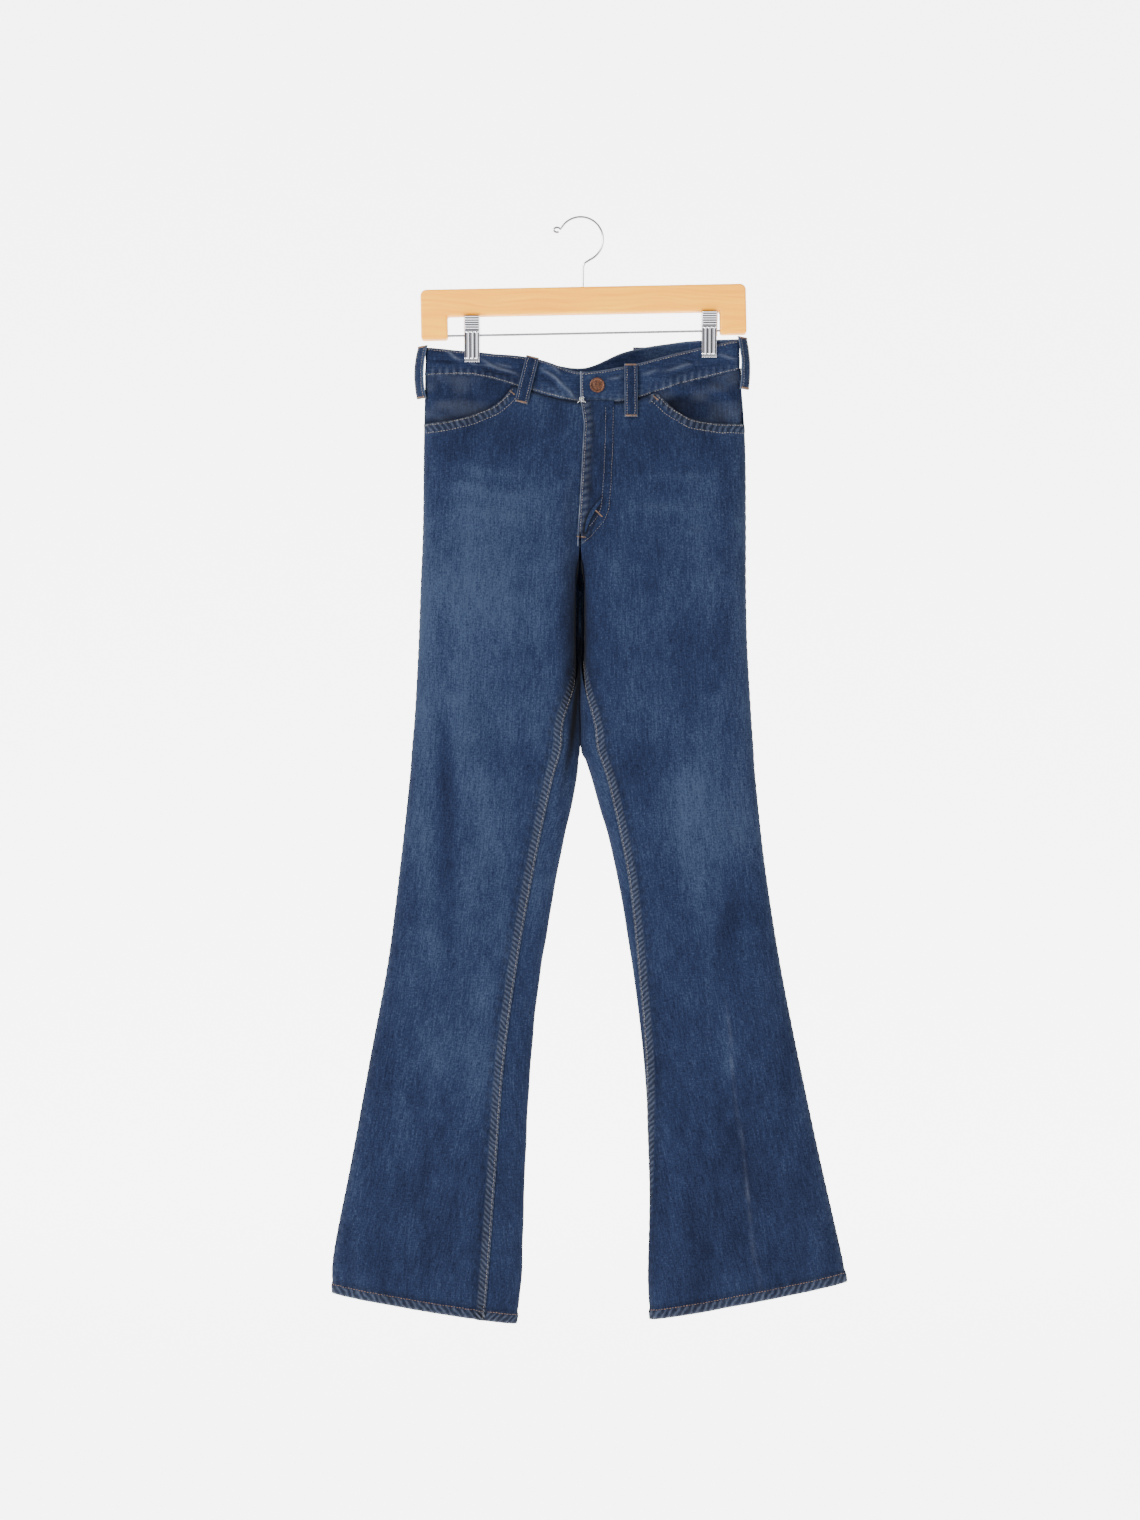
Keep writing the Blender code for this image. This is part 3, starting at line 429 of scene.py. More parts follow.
def gridObject(name, points, outward, finish, uv, attributes, thick=0.0):
    # a grid mesh laid through points, its outer face the way outward points, thickened inwards
    rows, columns = points.shape[0] - 1, points.shape[1] - 1
    shape = bmesh.new()
    bmesh.ops.create_grid(shape, x_segments=columns, y_segments=rows, size=1.0)
    mesh = bpy.data.meshes.new(name)
    shape.to_mesh(mesh)
    shape.free()
    places = np.zeros(len(mesh.vertices) * 3)
    mesh.vertices.foreach_get("co", places)
    places = places.reshape(-1, 3)
    column = np.rint((places[:, 0] + 1.0) / 2.0 * columns).astype(int)
    row = np.rint((1.0 - places[:, 1]) / 2.0 * rows).astype(int)
    mesh.vertices.foreach_set("co", points[row, column].ravel())
    for label, values in attributes.items():
        mesh.attributes.new(label, "FLOAT", "POINT").data.foreach_set("value", values[row, column])
    layer = mesh.uv_layers.new(name="cloth")
    corner = np.zeros(len(mesh.loops), dtype=np.int64)
    mesh.loops.foreach_get("vertex_index", corner)
    layer.data.foreach_set("uv", np.stack([part[row, column][corner] for part in uv], axis=1).ravel())
    mesh.update()
    middle = mesh.polygons[len(mesh.polygons) // 2 + columns // 2]
    if middle.normal.dot(Vector(outward)) < 0:
        mesh.flip_normals()
    mesh.shade_smooth()
    mesh.materials.append(finish)
    thing = addThing(name, mesh)
    if thick:
        wall = thing.modifiers.new("thickness", "SOLIDIFY")
        wall.thickness = thick
        wall.offset = -1.0
        wall.use_even_offset = False
    return thing


class Wire:
    # a node's output that can be used in ordinary arithmetic
    def __init__(self, tree, socket):
        self.tree = tree
        self.socket = socket

    def maths(self, operation, *others):
        node = self.tree.nodes.new("ShaderNodeMath")
        node.operation = operation
        for socket, value in zip(node.inputs, others):
            join(self.tree, socket, value)
        return Wire(self.tree, node.outputs[0])

    def __add__(self, other):
        return self.maths("ADD", self, other)

    def __radd__(self, other):
        return self.maths("ADD", other, self)

    def __sub__(self, other):
        return self.maths("SUBTRACT", self, other)

    def __rsub__(self, other):
        return self.maths("SUBTRACT", other, self)

    def __mul__(self, other):
        return self.maths("MULTIPLY", self, other)

    def __rmul__(self, other):
        return self.maths("MULTIPLY", other, self)

    def __truediv__(self, other):
        return self.maths("DIVIDE", self, other)

    def __pow__(self, other):
        return self.maths("POWER", self, other)

    def limit(self, low=0.0, high=1.0):
        return self.maths("MINIMUM", self.maths("MAXIMUM", self, low), high)

    def sine(self):
        return self.maths("SINE", self)


def join(tree, socket, value):
    if isinstance(value, Wire):
        tree.links.new(value.socket, socket)
    else:
        socket.default_value = value


class Finish:
    # a material whose nodes are added one call at a time
    def __init__(self, name, **constants):
        self.material = bpy.data.materials.new(name)
        self.material.use_nodes = True
        self.tree = self.material.node_tree
        self.shader = self.tree.nodes["Principled BSDF"]
        for label, value in constants.items():
            self.shader.inputs[label.replace("_", " ")].default_value = value

    def node(self, kind, settings=None, inputs=None, output=0):
        node = self.tree.nodes.new(kind)
        for label, value in (settings or {}).items():
            setattr(node, label, value)
        for label, value in (inputs or {}).items():
            join(self.tree, node.inputs[label], value)
        return Wire(self.tree, node.outputs[output])

    def mix(self, factor, first, second):
        node = self.tree.nodes.new("ShaderNodeMix")
        node.data_type = "RGBA"
        for index, value in ((0, factor), (6, first), (7, second)):
            join(self.tree, node.inputs[index], value)
        return Wire(self.tree, node.outputs[2])

    def vector(self, x, y, z=0.0):
        return self.node("ShaderNodeCombineXYZ", inputs={"X": x, "Y": y, "Z": z})

    def noise(self, vector, detail=2.0, roughness=0.5):
        return self.node("ShaderNodeTexNoise", {"noise_dimensions": "3D"},
                         {"Vector": vector, "Scale": 1.0, "Detail": detail, "Roughness": roughness})

    def attribute(self, name):
        return self.node("ShaderNodeAttribute", {"attribute_name": name}, output=2)

    def put(self, label, value):
        join(self.tree, self.shader.inputs[label], value)

    def bump(self, height, distance, strength=1.0):
        self.put("Normal", self.node("ShaderNodeBump", inputs={
            "Height": height, "Distance": distance, "Strength": strength}))


deepIndigo = (0.0022, 0.0042, 0.0150, 1.0)
midIndigo = (0.0070, 0.0125, 0.0350, 1.0)
fadedBlue = (0.0210, 0.0330, 0.0620, 1.0)
# the pale of worn dye, also used as painted highlight on the waistband's drag ridges
paleOfWearAndHighlight = (0.1700, 0.1900, 0.2250, 1.0)
deepShade = (0.0006, 0.0009, 0.0024, 1.0)


def denimFinish(name):
    finish = Finish(name, Roughness=0.9, Sheen_Weight=0.015, Sheen_Roughness=0.6)
    finish.shader.inputs["Specular IOR Level"].default_value = 0.08
    coordinates = finish.node("ShaderNodeUVMap", {"uv_map": "cloth"})
    parts = finish.node("ShaderNodeSeparateXYZ", inputs={0: coordinates})
    u = parts
    v = Wire(finish.tree, parts.socket.node.outputs[1])
    slub = finish.noise(finish.vector(u * 480.0, v * 52.0), 3.0, 0.6)
    fineSlub = finish.noise(finish.vector(u * 1150.0, v * 330.0, 4.0), 2.0, 0.6)
    cross = finish.noise(finish.vector(u * 190.0, v * 850.0, 9.0), 1.0)
    cloud = finish.noise(finish.vector(u * 26.0, v * 13.0, 2.0), 3.0, 0.6)
    grain = (slub - 0.5) * 1.05 + (fineSlub - 0.5) * 1.45 + (cross - 0.5) * 0.65 + (cloud - 0.5) * 0.80
    tone = (finish.attribute("tone") + grain).limit(0.0, 1.2)
    colour = finish.mix((tone * 2.0).limit(), deepIndigo, midIndigo)
    colour = finish.mix((tone * 2.0 - 1.0).limit(), colour, fadedBlue)
    # puckered seams: slanting ridges, pale on top where the dye wears, with painted shade between
    stray = finish.noise(finish.vector(u * 90.0, v * 90.0, 6.0), 1.0) * 6.0
    along, across = finish.attribute("ropeAlong"), finish.attribute("ropeAcross")
    ridgeAlong = ((v * 1100.0 + u * 900.0 + stray).sine() * 0.5 + 0.5) ** 1.3
    ridgeAcross = ((u * 860.0 + v * 520.0 + stray).sine() * 0.5 + 0.5) ** 1.6
    ridge = along * ridgeAlong + across * ridgeAcross
    hollow = along * (1.0 - ridgeAlong) + across * (1.0 - ridgeAcross)
    # paler where the dye has worn, and painted highlight on the waistband's drag ridges
    rubbedAndHighlit = finish.attribute("wearAndHighlight") * (0.45 + fineSlub + 0.6 * (slub - 0.5))
    wornAndHighlit = (rubbedAndHighlit + ridge * 0.13 * (slub + 0.2)).limit()
    colour = finish.mix(wornAndHighlit, colour, paleOfWearAndHighlight)
    shade = finish.attribute("shade") + hollow * 0.50
    colour = finish.mix(shade.limit(), colour, deepShade)
    finish.put("Base Color", colour)
    twill = ((u + v) * 5200.0).sine() * 0.5
    finish.bump(slub * 0.8 + fineSlub * 0.8 + cross * 0.3 + twill * 0.35 + ridge * 2.2, 0.00035, 0.60)
    return finish.material


def toneMap(tones, x, z, base):
    tone = base + 0.0 * x
    for cx, cz, wx, wz, amount in tones:
        tone = tone + amount * np.exp(-((x - cx) / wx) ** 2 - ((z - cz) / wz) ** 2)
    return tone


def ropes(along, period=0.0140):
    # the slanting ridges that puckered seams show, from 0 to 1, uneven along the seam
    jitter = latticeNoise(along, 0.0 * along, (0.03, 1.0), 5) * 0.9
    return 0.5 + 0.5 * np.sin(2.0 * np.pi * along / period + jitter)


def topEdgeOf(side, face):
    scoop = leftScoop if side == "left" else rightScoop
    if face == "back":
        return lambda x: follow(yokeSeam, x)

    def edge(x):
        seam = follow(frontSeam, x)
        return np.where(np.abs(x) < abs(scoop[-1][0]), seam, np.minimum(seam, follow(scoop, x)))
    return edge


panels = {}
seamRows = (0.0022, 0.0088)          # stitched rows of a felled seam, from its edge
panelForm = {
    "billow": 0.0011, "ripple": 0.0005,             # how far the cloth swells between creases
    "seam lift": 0.0009, "seam rope": 0.0004,       # a felled seam's rise, and its ridges' own
    "beside seam": 0.003, "beside sink": 0.0006,    # the hollow that runs beside it
    "hem lift": 0.0007, "hem rope": 0.0006,
    "rim wide": 0.012, "rim lift": 0.0004, "rim rope": 0.0006,
    "valley sink": 0.0050, "valley wide": 0.0075,   # between the legs, below the fly
    "legs part": -0.634, "closing": 0.012,          # above this height the two legs touch
    "overlap": 0.0004}
# the line of painted shade between the legs, down and across, which slips down beside the right inseam
valleyDown = (0.38, 0.42, 0.50, 0.53, 0.556, 0.582, 0.62, 0.68)
valleyAcross = (-0.0010, 0.0010, 0.0008, -0.0010, -0.0045, -0.0070, -0.0110, -0.0220)
flyCreases = (
    (0.027, -0.322, 0.000, -0.380, 0.0034, 0.0024),
    (0.012, -0.236, 0.020, -0.262, 0.004, 0.0008),
    (0.006, -0.300, 0.016, -0.330, 0.004, 0.0010),
    (0.030, -0.345, 0.004, -0.384, 0.003, -0.0012),
    (0.008, -0.262, 0.014, -0.296, 0.003, 0.0009))
flyShadows = (
    (0.026, -0.328, 0.000, -0.378, 0.0036, 1.0),
    (0.021, -0.342, 0.008, -0.392, 0.0018, 0.7))
whiskers = (
    (-0.165, -0.295, -0.050, -0.302, 0.006, 1.0),
    (-0.160, -0.318, -0.035, -0.330, 0.006, 1.0),
    (-0.150, -0.345, -0.030, -0.353, 0.007, 0.8),
    (0.170, -0.300, 0.052, -0.312, 0.006, 0.8),
    (0.160, -0.335, 0.048, -0.348, 0.007, 0.8))
pressedLine = (
    (0.168, -0.905, 0.186, -1.080, 0.0016, 1.0),
    (0.183, -1.040, 0.210, -1.262, 0.0018, 1.3))


def buildPanel(side, face, finish):
    form = panelForm
    grid, toOut, toIn = naturalGrid(side, face, spread(panelColumns))
    points, (toOut, toIn) = resample(grid, (toOut, toIn), topEdgeOf(side, face), panelRows)
    outward = (0.0, -1.0, 0.0) if face == "front" else (0.0, 1.0, 0.0)
    normals = gridNormals(points, outward)
    x, z = points[..., 0], points[..., 2]
    seed = {"front": 11, "back": 23}[face] + {"left": 3, "right": 8}[side]
    creases = frontCreases if face == "front" else backCreases
    edges = ease(np.minimum(toOut, toIn) / 0.02)
    push = -troughs(creases, x, z) * edges
    push = push + (form["billow"] * latticeNoise(x, z, (0.035, 0.090), seed)
                   + form["ripple"] * latticeNoise(x, z, (0.014, 0.030), seed + 1)) * edges

    # seams: the felled inseam stands up, its stitches pull it into ropes
    along = -z
    seamed = 1.0 if face == "front" else 0.0
    below = ease((-0.500 - z) / 0.03)
    ridge = ease((seamWide - toIn) / 0.0018) * below * seamed
    rope = ropes(along + 0.6 * toIn)
    push = push + ridge * (form["seam lift"] + form["seam rope"] * rope)
    beside = bell(toIn - seamWide - form["beside seam"], 0.004) * below * seamed
    push = push - beside * form["beside sink"] * (0.4 + rope)

    # the outseam, plain, pressed open, with a faint double line
    outRope = ropes(along - 0.4 * toOut, 0.012)
    outer = bell(toOut, 0.006) * ease((-0.25 - z) / 0.05)
    push = push + outer * 0.0005 * outRope

    # hem, turned up twice
    bottom = points[-1, :, 2]
    fromHem = z - bottom[None, :]
    hem = ease((hemDepth - fromHem) / 0.0015)
    hemRope = ropes(x * np.sign(points[0, 0, 0]) + 0.5 * fromHem, 0.0105)
    push = push + hem * (form["hem lift"] + form["hem rope"] * hemRope)
    push = push - bell(fromHem - hemDepth - form["beside seam"], 0.004) * form["beside sink"] * hemRope

    # top edge: the pocket's rim or the seam under the band, puckered
    fromTop = points[0, :, 2][None, :] - z
    scooped = np.abs(x) > 0.080 if face == "front" else np.zeros(x.shape, bool)
    rimRope = ropes(x + 0.5 * fromTop, 0.0080)
    rim = ease((form["rim wide"] - fromTop) / 0.002) * scooped
    push = push + rim * (form["rim lift"] + form["rim rope"] * rimRope)
    if face == "front":
        valley = ease((-0.384 - z) / 0.05) * ease((z + 0.630) / 0.06)
        push = push - form["valley sink"] * bell(x, form["valley wide"]) * valley
    points = points + push[..., None] * normals
    # above the crotch the two legs touch
    sign = 1.0 if side == "left" else -1.0
    sections = sideSections[side]
    edgeX = np.interp(-points[..., 2], -sections[:, 3], sections[:, 2])
    close = ease((points[..., 2] - form["legs part"]) / form["closing"])
    close = close * np.exp(-np.abs(points[..., 0] - edgeX) / form["closing"])
    points[..., 0] -= close * (edgeX + form["overlap"] * sign)

    tone = toneMap(frontTones if face == "front" else backTones, x, z, 0.50)
    tone = tone - 0.10 * ease((-0.80 - z) / 0.20)
    tone = tone + 0.085 * latticeNoise(x, z, (0.030, 0.110), seed + 2)
    tone = tone + 0.07 * latticeNoise(x, z, (0.010, 0.060), seed + 3)
    wearAndHighlight = 0.0 * x
    wearAndHighlight = wearAndHighlight + 0.05 * ridge + 0.16 * bell(toIn, 0.0012) * below * seamed
    wearAndHighlight = wearAndHighlight + hem * (0.03 + 0.05 * hemRope**2) + 0.26 * bell(fromHem, 0.0016)
    wearAndHighlight = wearAndHighlight + 0.03 * rim + 0.20 * scooped * bell(fromTop, 0.0015)
    wearAndHighlight = wearAndHighlight + outer * 0.08 * outRope
    shade = beside * 0.30 * (1.15 - rope)
    if face == "front":
        shade = shade + 0.75 * bell(fromTop, 0.0032) * (1.0 - scooped)
    shade = shade + 0.22 * bell(fromHem - hemDepth - 0.0025, 0.003)
    if face == "front":
        tone = tone + 0.22 * troughs(whiskers, x, z)
        pressed = troughs(pressedLine, x, z)
        broken = 0.7 + 0.6 * latticeNoise(x, z, (0.01, 0.012), 77)
        wearAndHighlight = wearAndHighlight + 0.085 * np.clip(pressed, 0.0, 1.0) * broken
        besideFly = ease((-0.26 - z) / 0.10) * ease((z + 0.66) / 0.10) * (x < 0)
        shade = shade + 0.26 * bell(x + 0.010, 0.011) * besideFly
    # painted shade in the valley between the legs, which slips down beside the right inseam
    centre = np.interp(-z, valleyDown, valleyAcross)
    reachUp, reachDown = ease((-0.384 - z) / 0.03), ease((z + 0.700) / 0.11)
    seen = 1.0 if face == "front" else ease((0.004 - points[..., 1]) / 0.004)
    shade = shade + 0.90 * np.exp(-(np.abs(x - centre) / 0.0044) ** 1.7) * reachUp * reachDown * seen
    shade = shade + 0.22 * bell(x + 0.008, 0.012) * reachUp * reachDown * seen
    panels[side, face] = {"points": points, "normals": gridNormals(points, outward),
                          "toOut": toOut, "toIn": toIn}
    uv = (toOut if face == "front" else toOut + 0.5, z)
    thing = gridObject(face + "_" + side + "_cloth", points, outward, finish, uv,
                       {"tone": tone, "wearAndHighlight": wearAndHighlight, "shade": np.clip(shade, 0.0, 1.0),
                        "ropeAlong": ridge, "ropeAcross": np.clip(hem + rim, 0.0, 1.0)}, denimThick)
    return settle(thing, face + "_" + side)


denim = denimFinish("denim")
bandDenim = denimFinish("band denim")
print("materials ready")

panelThings = {(side, face): buildPanel(side, face, denim)
               for side in ("right", "left") for face in ("front", "back")}
print("panels built")

# The waistband: round from the lapped end by the left side and the back, then on under the lap.
bandRows = 26
bandUnderlap = 0.040
bandTuck = bandThick + 0.0007
bandDrags = (
    (-0.162, -0.1525, -0.135, -0.1695, 0.0017, -0.0016),
    (-0.137, -0.1680, -0.098, -0.1755, 0.0017, -0.0013),
    (-0.120, -0.1640, -0.068, -0.1890, 0.0017, -0.0018),
    (-0.100, -0.1700, -0.078, -0.1780, 0.0015, -0.0010),
    (-0.048, -0.1760, -0.012, -0.2040, 0.0017, -0.0019),
    (-0.036, -0.1750, -0.020, -0.1860, 0.0015, -0.0010),
    (-0.018, -0.2000, -0.003, -0.2160, 0.0017, -0.0016),
    (-0.182, -0.1682, -0.134, -0.1692, 0.0016, 0.0018),
    (-0.128, -0.1690, -0.074, -0.1900, 0.0024, 0.0016),
    (-0.046, -0.1840, -0.020, -0.2060, 0.0024, 0.0014),
    (0.030, -0.1920, 0.052, -0.1870, 0.0018, -0.0010),
    (0.070, -0.1860, 0.094, -0.1800, 0.0018, -0.0011),
    (0.092, -0.1820, 0.142, -0.1690, 0.0018, -0.0014),
    (0.100, -0.1880, 0.140, -0.1760, 0.0022, 0.0012),
    (0.158, -0.1600, 0.186, -0.1660, 0.0018, -0.0013),
    (0.122, -0.1640, 0.138, -0.1750, 0.0018, 0.0012))


def bandStations(count):
    # x and face of columns evenly spaced by arc round the waist, left side first
    xs, faces = [], []
    for side, order in (("left", 1), ("right", -1)):
        front, back = sectionOutline(rowsAt(sideSections[side], np.zeros(1))[0])
        outerIndex = int(np.argmax(back[0] * np.sign(front[0, 0])))
        line = np.concatenate((front[:, ::-1], back[:, outerIndex::-1]), axis=1)
        flags = np.concatenate((np.zeros(front.shape[1]), np.ones(outerIndex + 1)))
        length = np.concatenate(([0.0], np.cumsum(np.hypot(np.diff(line[0]), np.diff(line[1])))))
        wanted = np.linspace(0.0, length[-1], count)
        x = np.interp(wanted, length, line[0])
        flag = np.interp(wanted, length, flags) > 0.5
        xs.append(x[::order] if order < 0 else x)
        faces.append(flag[::order] if order < 0 else flag)
    return np.concatenate((xs[0][:-1], xs[1])), np.concatenate((faces[0][:-1], faces[1]))


def buildWaistband():
    xs, onBack = bandStations(260)
    seam = np.where(onBack, follow(backSeam, xs), follow(frontSeam, xs))
    top = np.where(onBack, follow(backTop, xs), follow(frontTop, xs))
    smoothing = np.ones(5) / 5.0
    seam, top = (np.convolve(np.pad(line, 2, mode="edge"), smoothing, "valid") for line in (seam, top))
    extra = np.linspace(0.0, 1.0, 16)[1:] * bandUnderlap
    xs = np.concatenate((xs, extra))
    onBack = np.concatenate((onBack, np.zeros(len(extra), bool)))
    seam = np.concatenate((seam, follow(frontSeam, extra)))
    top = np.concatenate((top, follow(frontTop, extra) - 0.0004))
    up = np.linspace(1.0, 0.0, bandRows + 1)[:, None]
    z = seam + (top - seam) * up
    x = np.broadcast_to(xs, z.shape)
    sections = {side: rowsAt(sideSections[side], np.zeros(1))[0] for side in sideSections}
    depth = np.zeros(z.shape)
    for side, own in (("left", xs > 0), ("right", xs <= 0)):
        for face, there in (("front", ~onBack), ("back", onBack)):
            mask = own & there
            depth[:, mask] = clothDepth(sections[side], x[:, mask], z[:, mask], face)
    index = np.arange(len(xs))
    fromRight = (xs < 0) & ~onBack
    under = index >= len(xs) - len(extra)
    depth = depth + np.where(fromRight, bandTuck * ease((xs + 0.030) / 0.026), 0.0)
    depth = depth + np.where(under, bandTuck, 0.0)
    points = np.stack((x, depth, z), axis=2)
    normals = gridNormals(points, (0.0, 1.0, 0.0))
    upMap = np.broadcast_to(up, z.shape)
    front = (~onBack)[None, :] * 1.0
    pucker = ropes(np.cumsum(np.hypot(np.diff(xs, prepend=xs[0]), 0.0)) + 0.0 * xs, 0.0085)[None, :]
    lowPart = ease((0.42 - upMap) / 0.35)
    puckered = 0.35 + 0.65 * (bell(xs + 0.146, 0.030) + bell(xs - 0.122, 0.028))[None, :]
    push = -troughs(bandDrags, x, z) * front
    push = push + 0.0006 * latticeNoise(x + 9.0 * (1 - front), z, (0.028, 0.014), 41)
    push = push + lowPart * puckered * 0.0011 * (pucker - 0.5)
    push = push - 0.0008 * ease((upMap - 0.90) / 0.10) - 0.0006 * ease((0.08 - upMap) / 0.08)
    endFade = ease(np.minimum(index, len(xs) - 1 - index) / 4.0)[None, :]
    push = push * (0.3 + 0.7 * endFade) * np.where(under, 0.2, 1.0)[None, :]
    points = points + push[..., None] * normals
    around = np.concatenate(([0.0], np.cumsum(np.linalg.norm(np.diff(points[7], axis=0), axis=1))))
    tone = 0.46 + 0.16 * latticeNoise(x + 5.0 * (1 - front), z, (0.020, 0.016), 43)
    # the drag lines: their ridges are painted pale as highlight on worn dye, and their troughs painted dark
    # as shade
    drag = troughs(bandDrags, x, z) * front
    tone = tone - 90.0 * drag - 0.14 * front * ease((-0.04 - xs) / 0.03)[None, :]
    tone = tone + 0.05 * front * ease((xs - 0.06) / 0.03)[None, :]
    wearAndHighlight = 0.30 * bell(1.0 - upMap, 0.035) + 0.12 * bell(upMap - 0.07, 0.03)
    wearAndHighlight = wearAndHighlight + 0.16 * lowPart * puckered * pucker**3
    wearAndHighlight = wearAndHighlight + np.clip(-120.0 * drag, 0.0, 0.17)
    wearAndHighlight = wearAndHighlight + 0.60 * bell(np.minimum(index, 60), 0.9)[None, :]
    shade = 0.30 * lowPart * puckered * (1.0 - pucker) + np.clip(150.0 * drag, 0.0, 0.34)
    shade = shade + 0.30 * bell(upMap, 0.025)
    thing = gridObject("waistband_cloth", points, (0.0, 1.0, 0.0), bandDenim,
                       (z, np.broadcast_to(around, z.shape)),
                       {"tone": tone, "wearAndHighlight": np.clip(wearAndHighlight, 0, 1), "shade": shade}, bandThick)
    panels["band"] = {"points": points}
    return settle(thing, "waistband")


band = buildWaistband()
print("waistband built")


def positionsAt(side, x, z):
    # row positions of the sections that pass through x and z
    table = sideSections[side]
    low, high = np.full(x.shape, -0.75), np.full(x.shape, len(table) - 1.0)
    for _ in range(16):
        middle = 0.5 * (low + high)
        rows = rowsAt(table, middle)
        height = rows[:, 1] + (rows[:, 3] - rows[:, 1]) * (x - rows[:, 0]) / (rows[:, 2] - rows[:, 0])
        low, high = np.where(height > z, middle, low), np.where(height > z, high, middle)
    return low


def clothPoints(x, z, face, out=0.0):
    # points on the plain cloth at x and z, moved out along y
    x, z = np.broadcast_arrays(np.asarray(x, float), np.asarray(z, float))
    depth = np.zeros(x.size)
    flatX, flatZ = x.ravel(), z.ravel()
    for side, own in (("left", flatX > 0), ("right", flatX <= 0)):
        if own.any():
            rows = rowsAt(sideSections[side], positionsAt(side, flatX[own], flatZ[own]))
            depth[own] = clothDepth(rows.T, flatX[own], flatZ[own], face)
    depth = depth.reshape(x.shape) + (-out if face == "front" else out)
    return np.stack((x, depth, z), axis=-1)


def gridTree(*grids):
    points, quads, start = [], [], 0
    for grid in grids:
        rows, columns = grid.shape[:2]
        index = np.arange(rows * columns).reshape(rows, columns) + start
        corners = np.stack((index[:-1, :-1], index[:-1, 1:], index[1:, 1:], index[1:, :-1]), axis=-1)
        quads.append(corners.reshape(-1, 4))
        points.append(grid.reshape(-1, 3))
        start += rows * columns
    return BVHTree.FromPolygons(np.concatenate(points).tolist(), np.concatenate(quads).tolist())


def castOn(trees, x, z, face):
    # the outermost point and outward normal of the given surfaces at x and z
    side = -1.0 if face == "front" else 1.0
    best = None
    for tree in trees:
        place, normal, _, _ = tree.ray_cast(Vector((x, side, z)), Vector((0.0, -side, 0.0)))
        if place is not None and (best is None or place.y * side > best[0].y * side):
            best = place, normal if normal.y * side > 0 else -normal
    return best


def layOn(trees, xs, zs, face, lift):
    # a grid of points laid on other cloth, lifted along y
    points = clothPoints(xs, zs, face)
    for index in np.ndindex(points.shape[:2]):
        hit = castOn(trees, points[index][0], points[index][2], face)
        if hit:
            points[index][1] = hit[0].y
    points[..., 1] += lift * (-1.0 if face == "front" else 1.0)
    return points


frontTrees = [gridTree(panels["right", "front"]["points"], panels["left", "front"]["points"])]
backTrees = [gridTree(panels["right", "back"]["points"], panels["left", "back"]["points"])]
bandTree = gridTree(panels["band"]["points"])

# thread laid down as rows of small rounded stitches
threads = {"tan": [], "orange": [], "white": []}


def sew(kind, path, normals, pitch=0.0033, long=0.0025, thick=0.00042, lift=0.00022, wander=0.00018):
    path, normals = np.asarray(path, float), np.asarray(normals, float)
    length = lengthAlong(path)
    if length[-1] < pitch:
        return
    stations = np.arange(0.5 * pitch, length[-1], pitch)
    here = pointsAt(stations, length, path)
    ahead = pointsAt(stations + 0.0004, length, path)
    behind = pointsAt(stations - 0.0004, length, path)
    up = pointsAt(stations, length, normals)
    along = (ahead - behind) / np.linalg.norm(ahead - behind, axis=1, keepdims=True)
    side = np.cross(up, along)
    side /= np.maximum(np.linalg.norm(side, axis=1, keepdims=True), 1e-9)
    up = np.cross(along, side)
    jitter = np.random.default_rng(len(threads[kind]) + 3).normal(0.0, 1.0, (len(stations), 3))
    here = here + up * lift + side * jitter[:, :1] * wander
    turned = along + side * 0.05 * jitter[:, 1:2]
    stretched = turned * long * 0.5 * (1 + 0.08 * jitter[:, 2:])
    axes = np.stack((stretched, side * thick, up * thick * 0.9), axis=1)
    threads[kind].append((here, axes))


def sewOn(kind, trees, marks, face, **options):
    # a stitched row through (x, z) marks on the outside of the cloth
    marks = np.asarray(marks, float)
    length = lengthAlong(marks)
    stations = np.linspace(0.0, length[-1], max(3, int(length[-1] / 0.0015)))
    path, normals = [], []
    for x, z in zip(np.interp(stations, length, marks[:, 0]), np.interp(stations, length, marks[:, 1])):
        hit = castOn(trees, x, z, face)
        if hit:
            path.append(hit[0])
            normals.append(hit[1])
    if len(path) > 2:
        sew(kind, path, normals, **options)


def tack(kind, trees, start, stop, face, wide=0.0018):
    # a bar tack: close threads laid across a short line
    start, stop = np.array(start), np.array(stop)
    along = (stop - start) / np.linalg.norm(stop - start)
    across = np.array((-along[1], along[0])) * wide / 2
    count = max(4, int(np.linalg.norm(stop - start) / 0.00055))
    for part in np.linspace(0.0, 1.0, count):
        middle = start + (stop - start) * part
        ends = [castOn(trees, *(middle + sign * across), face) for sign in (-1, 1)]
        if all(ends):
            path = np.array([ends[0][0], ends[1][0]])
            sew(kind, path, [ends[0][1], ends[1][1]], pitch=wide * 0.98, long=wide * 1.1, thick=0.00034,
                lift=0.0003, wander=0.0)


def gridLine(grid, distance, wanted, rows=None):
    # down a panel, the points lying at a given distance from one of its seams
    points, normals = grid["points"], grid["normals"]
    path, ups = [], []
    for i in range(points.shape[0]) if rows is None else rows:
        order = np.argsort(distance[i])
        path.append([np.interp(wanted, distance[i][order], points[i, order, axis]) for axis in range(3)])
        ups.append([np.interp(wanted, distance[i][order], normals[i, order, axis]) for axis in range(3)])
    return np.array(path), np.array(ups)


def offsetMarks(marks, distance, low=0.0, high=1.0, count=60):
    # a curve through marks moved sideways by a distance, from part low to part high
    marks = np.asarray(marks, float)
    length = lengthAlong(marks)
    stations = np.linspace(low, high, count) * length[-1]
    fine = pointsAt(stations, length, marks)
    for _ in range(3):
        fine[1:-1] = 0.25 * fine[:-2] + 0.5 * fine[1:-1] + 0.25 * fine[2:]
    along = np.gradient(fine, axis=0)
    along /= np.linalg.norm(along, axis=1, keepdims=True)
    return fine + distance * np.stack((-along[:, 1], along[:, 0]), axis=1)


def seamMarks(marks, low, high, count=80, drop=0.0):
    xs = np.linspace(low, high, count)
    return np.stack((xs, follow(marks, xs) - drop), axis=1)


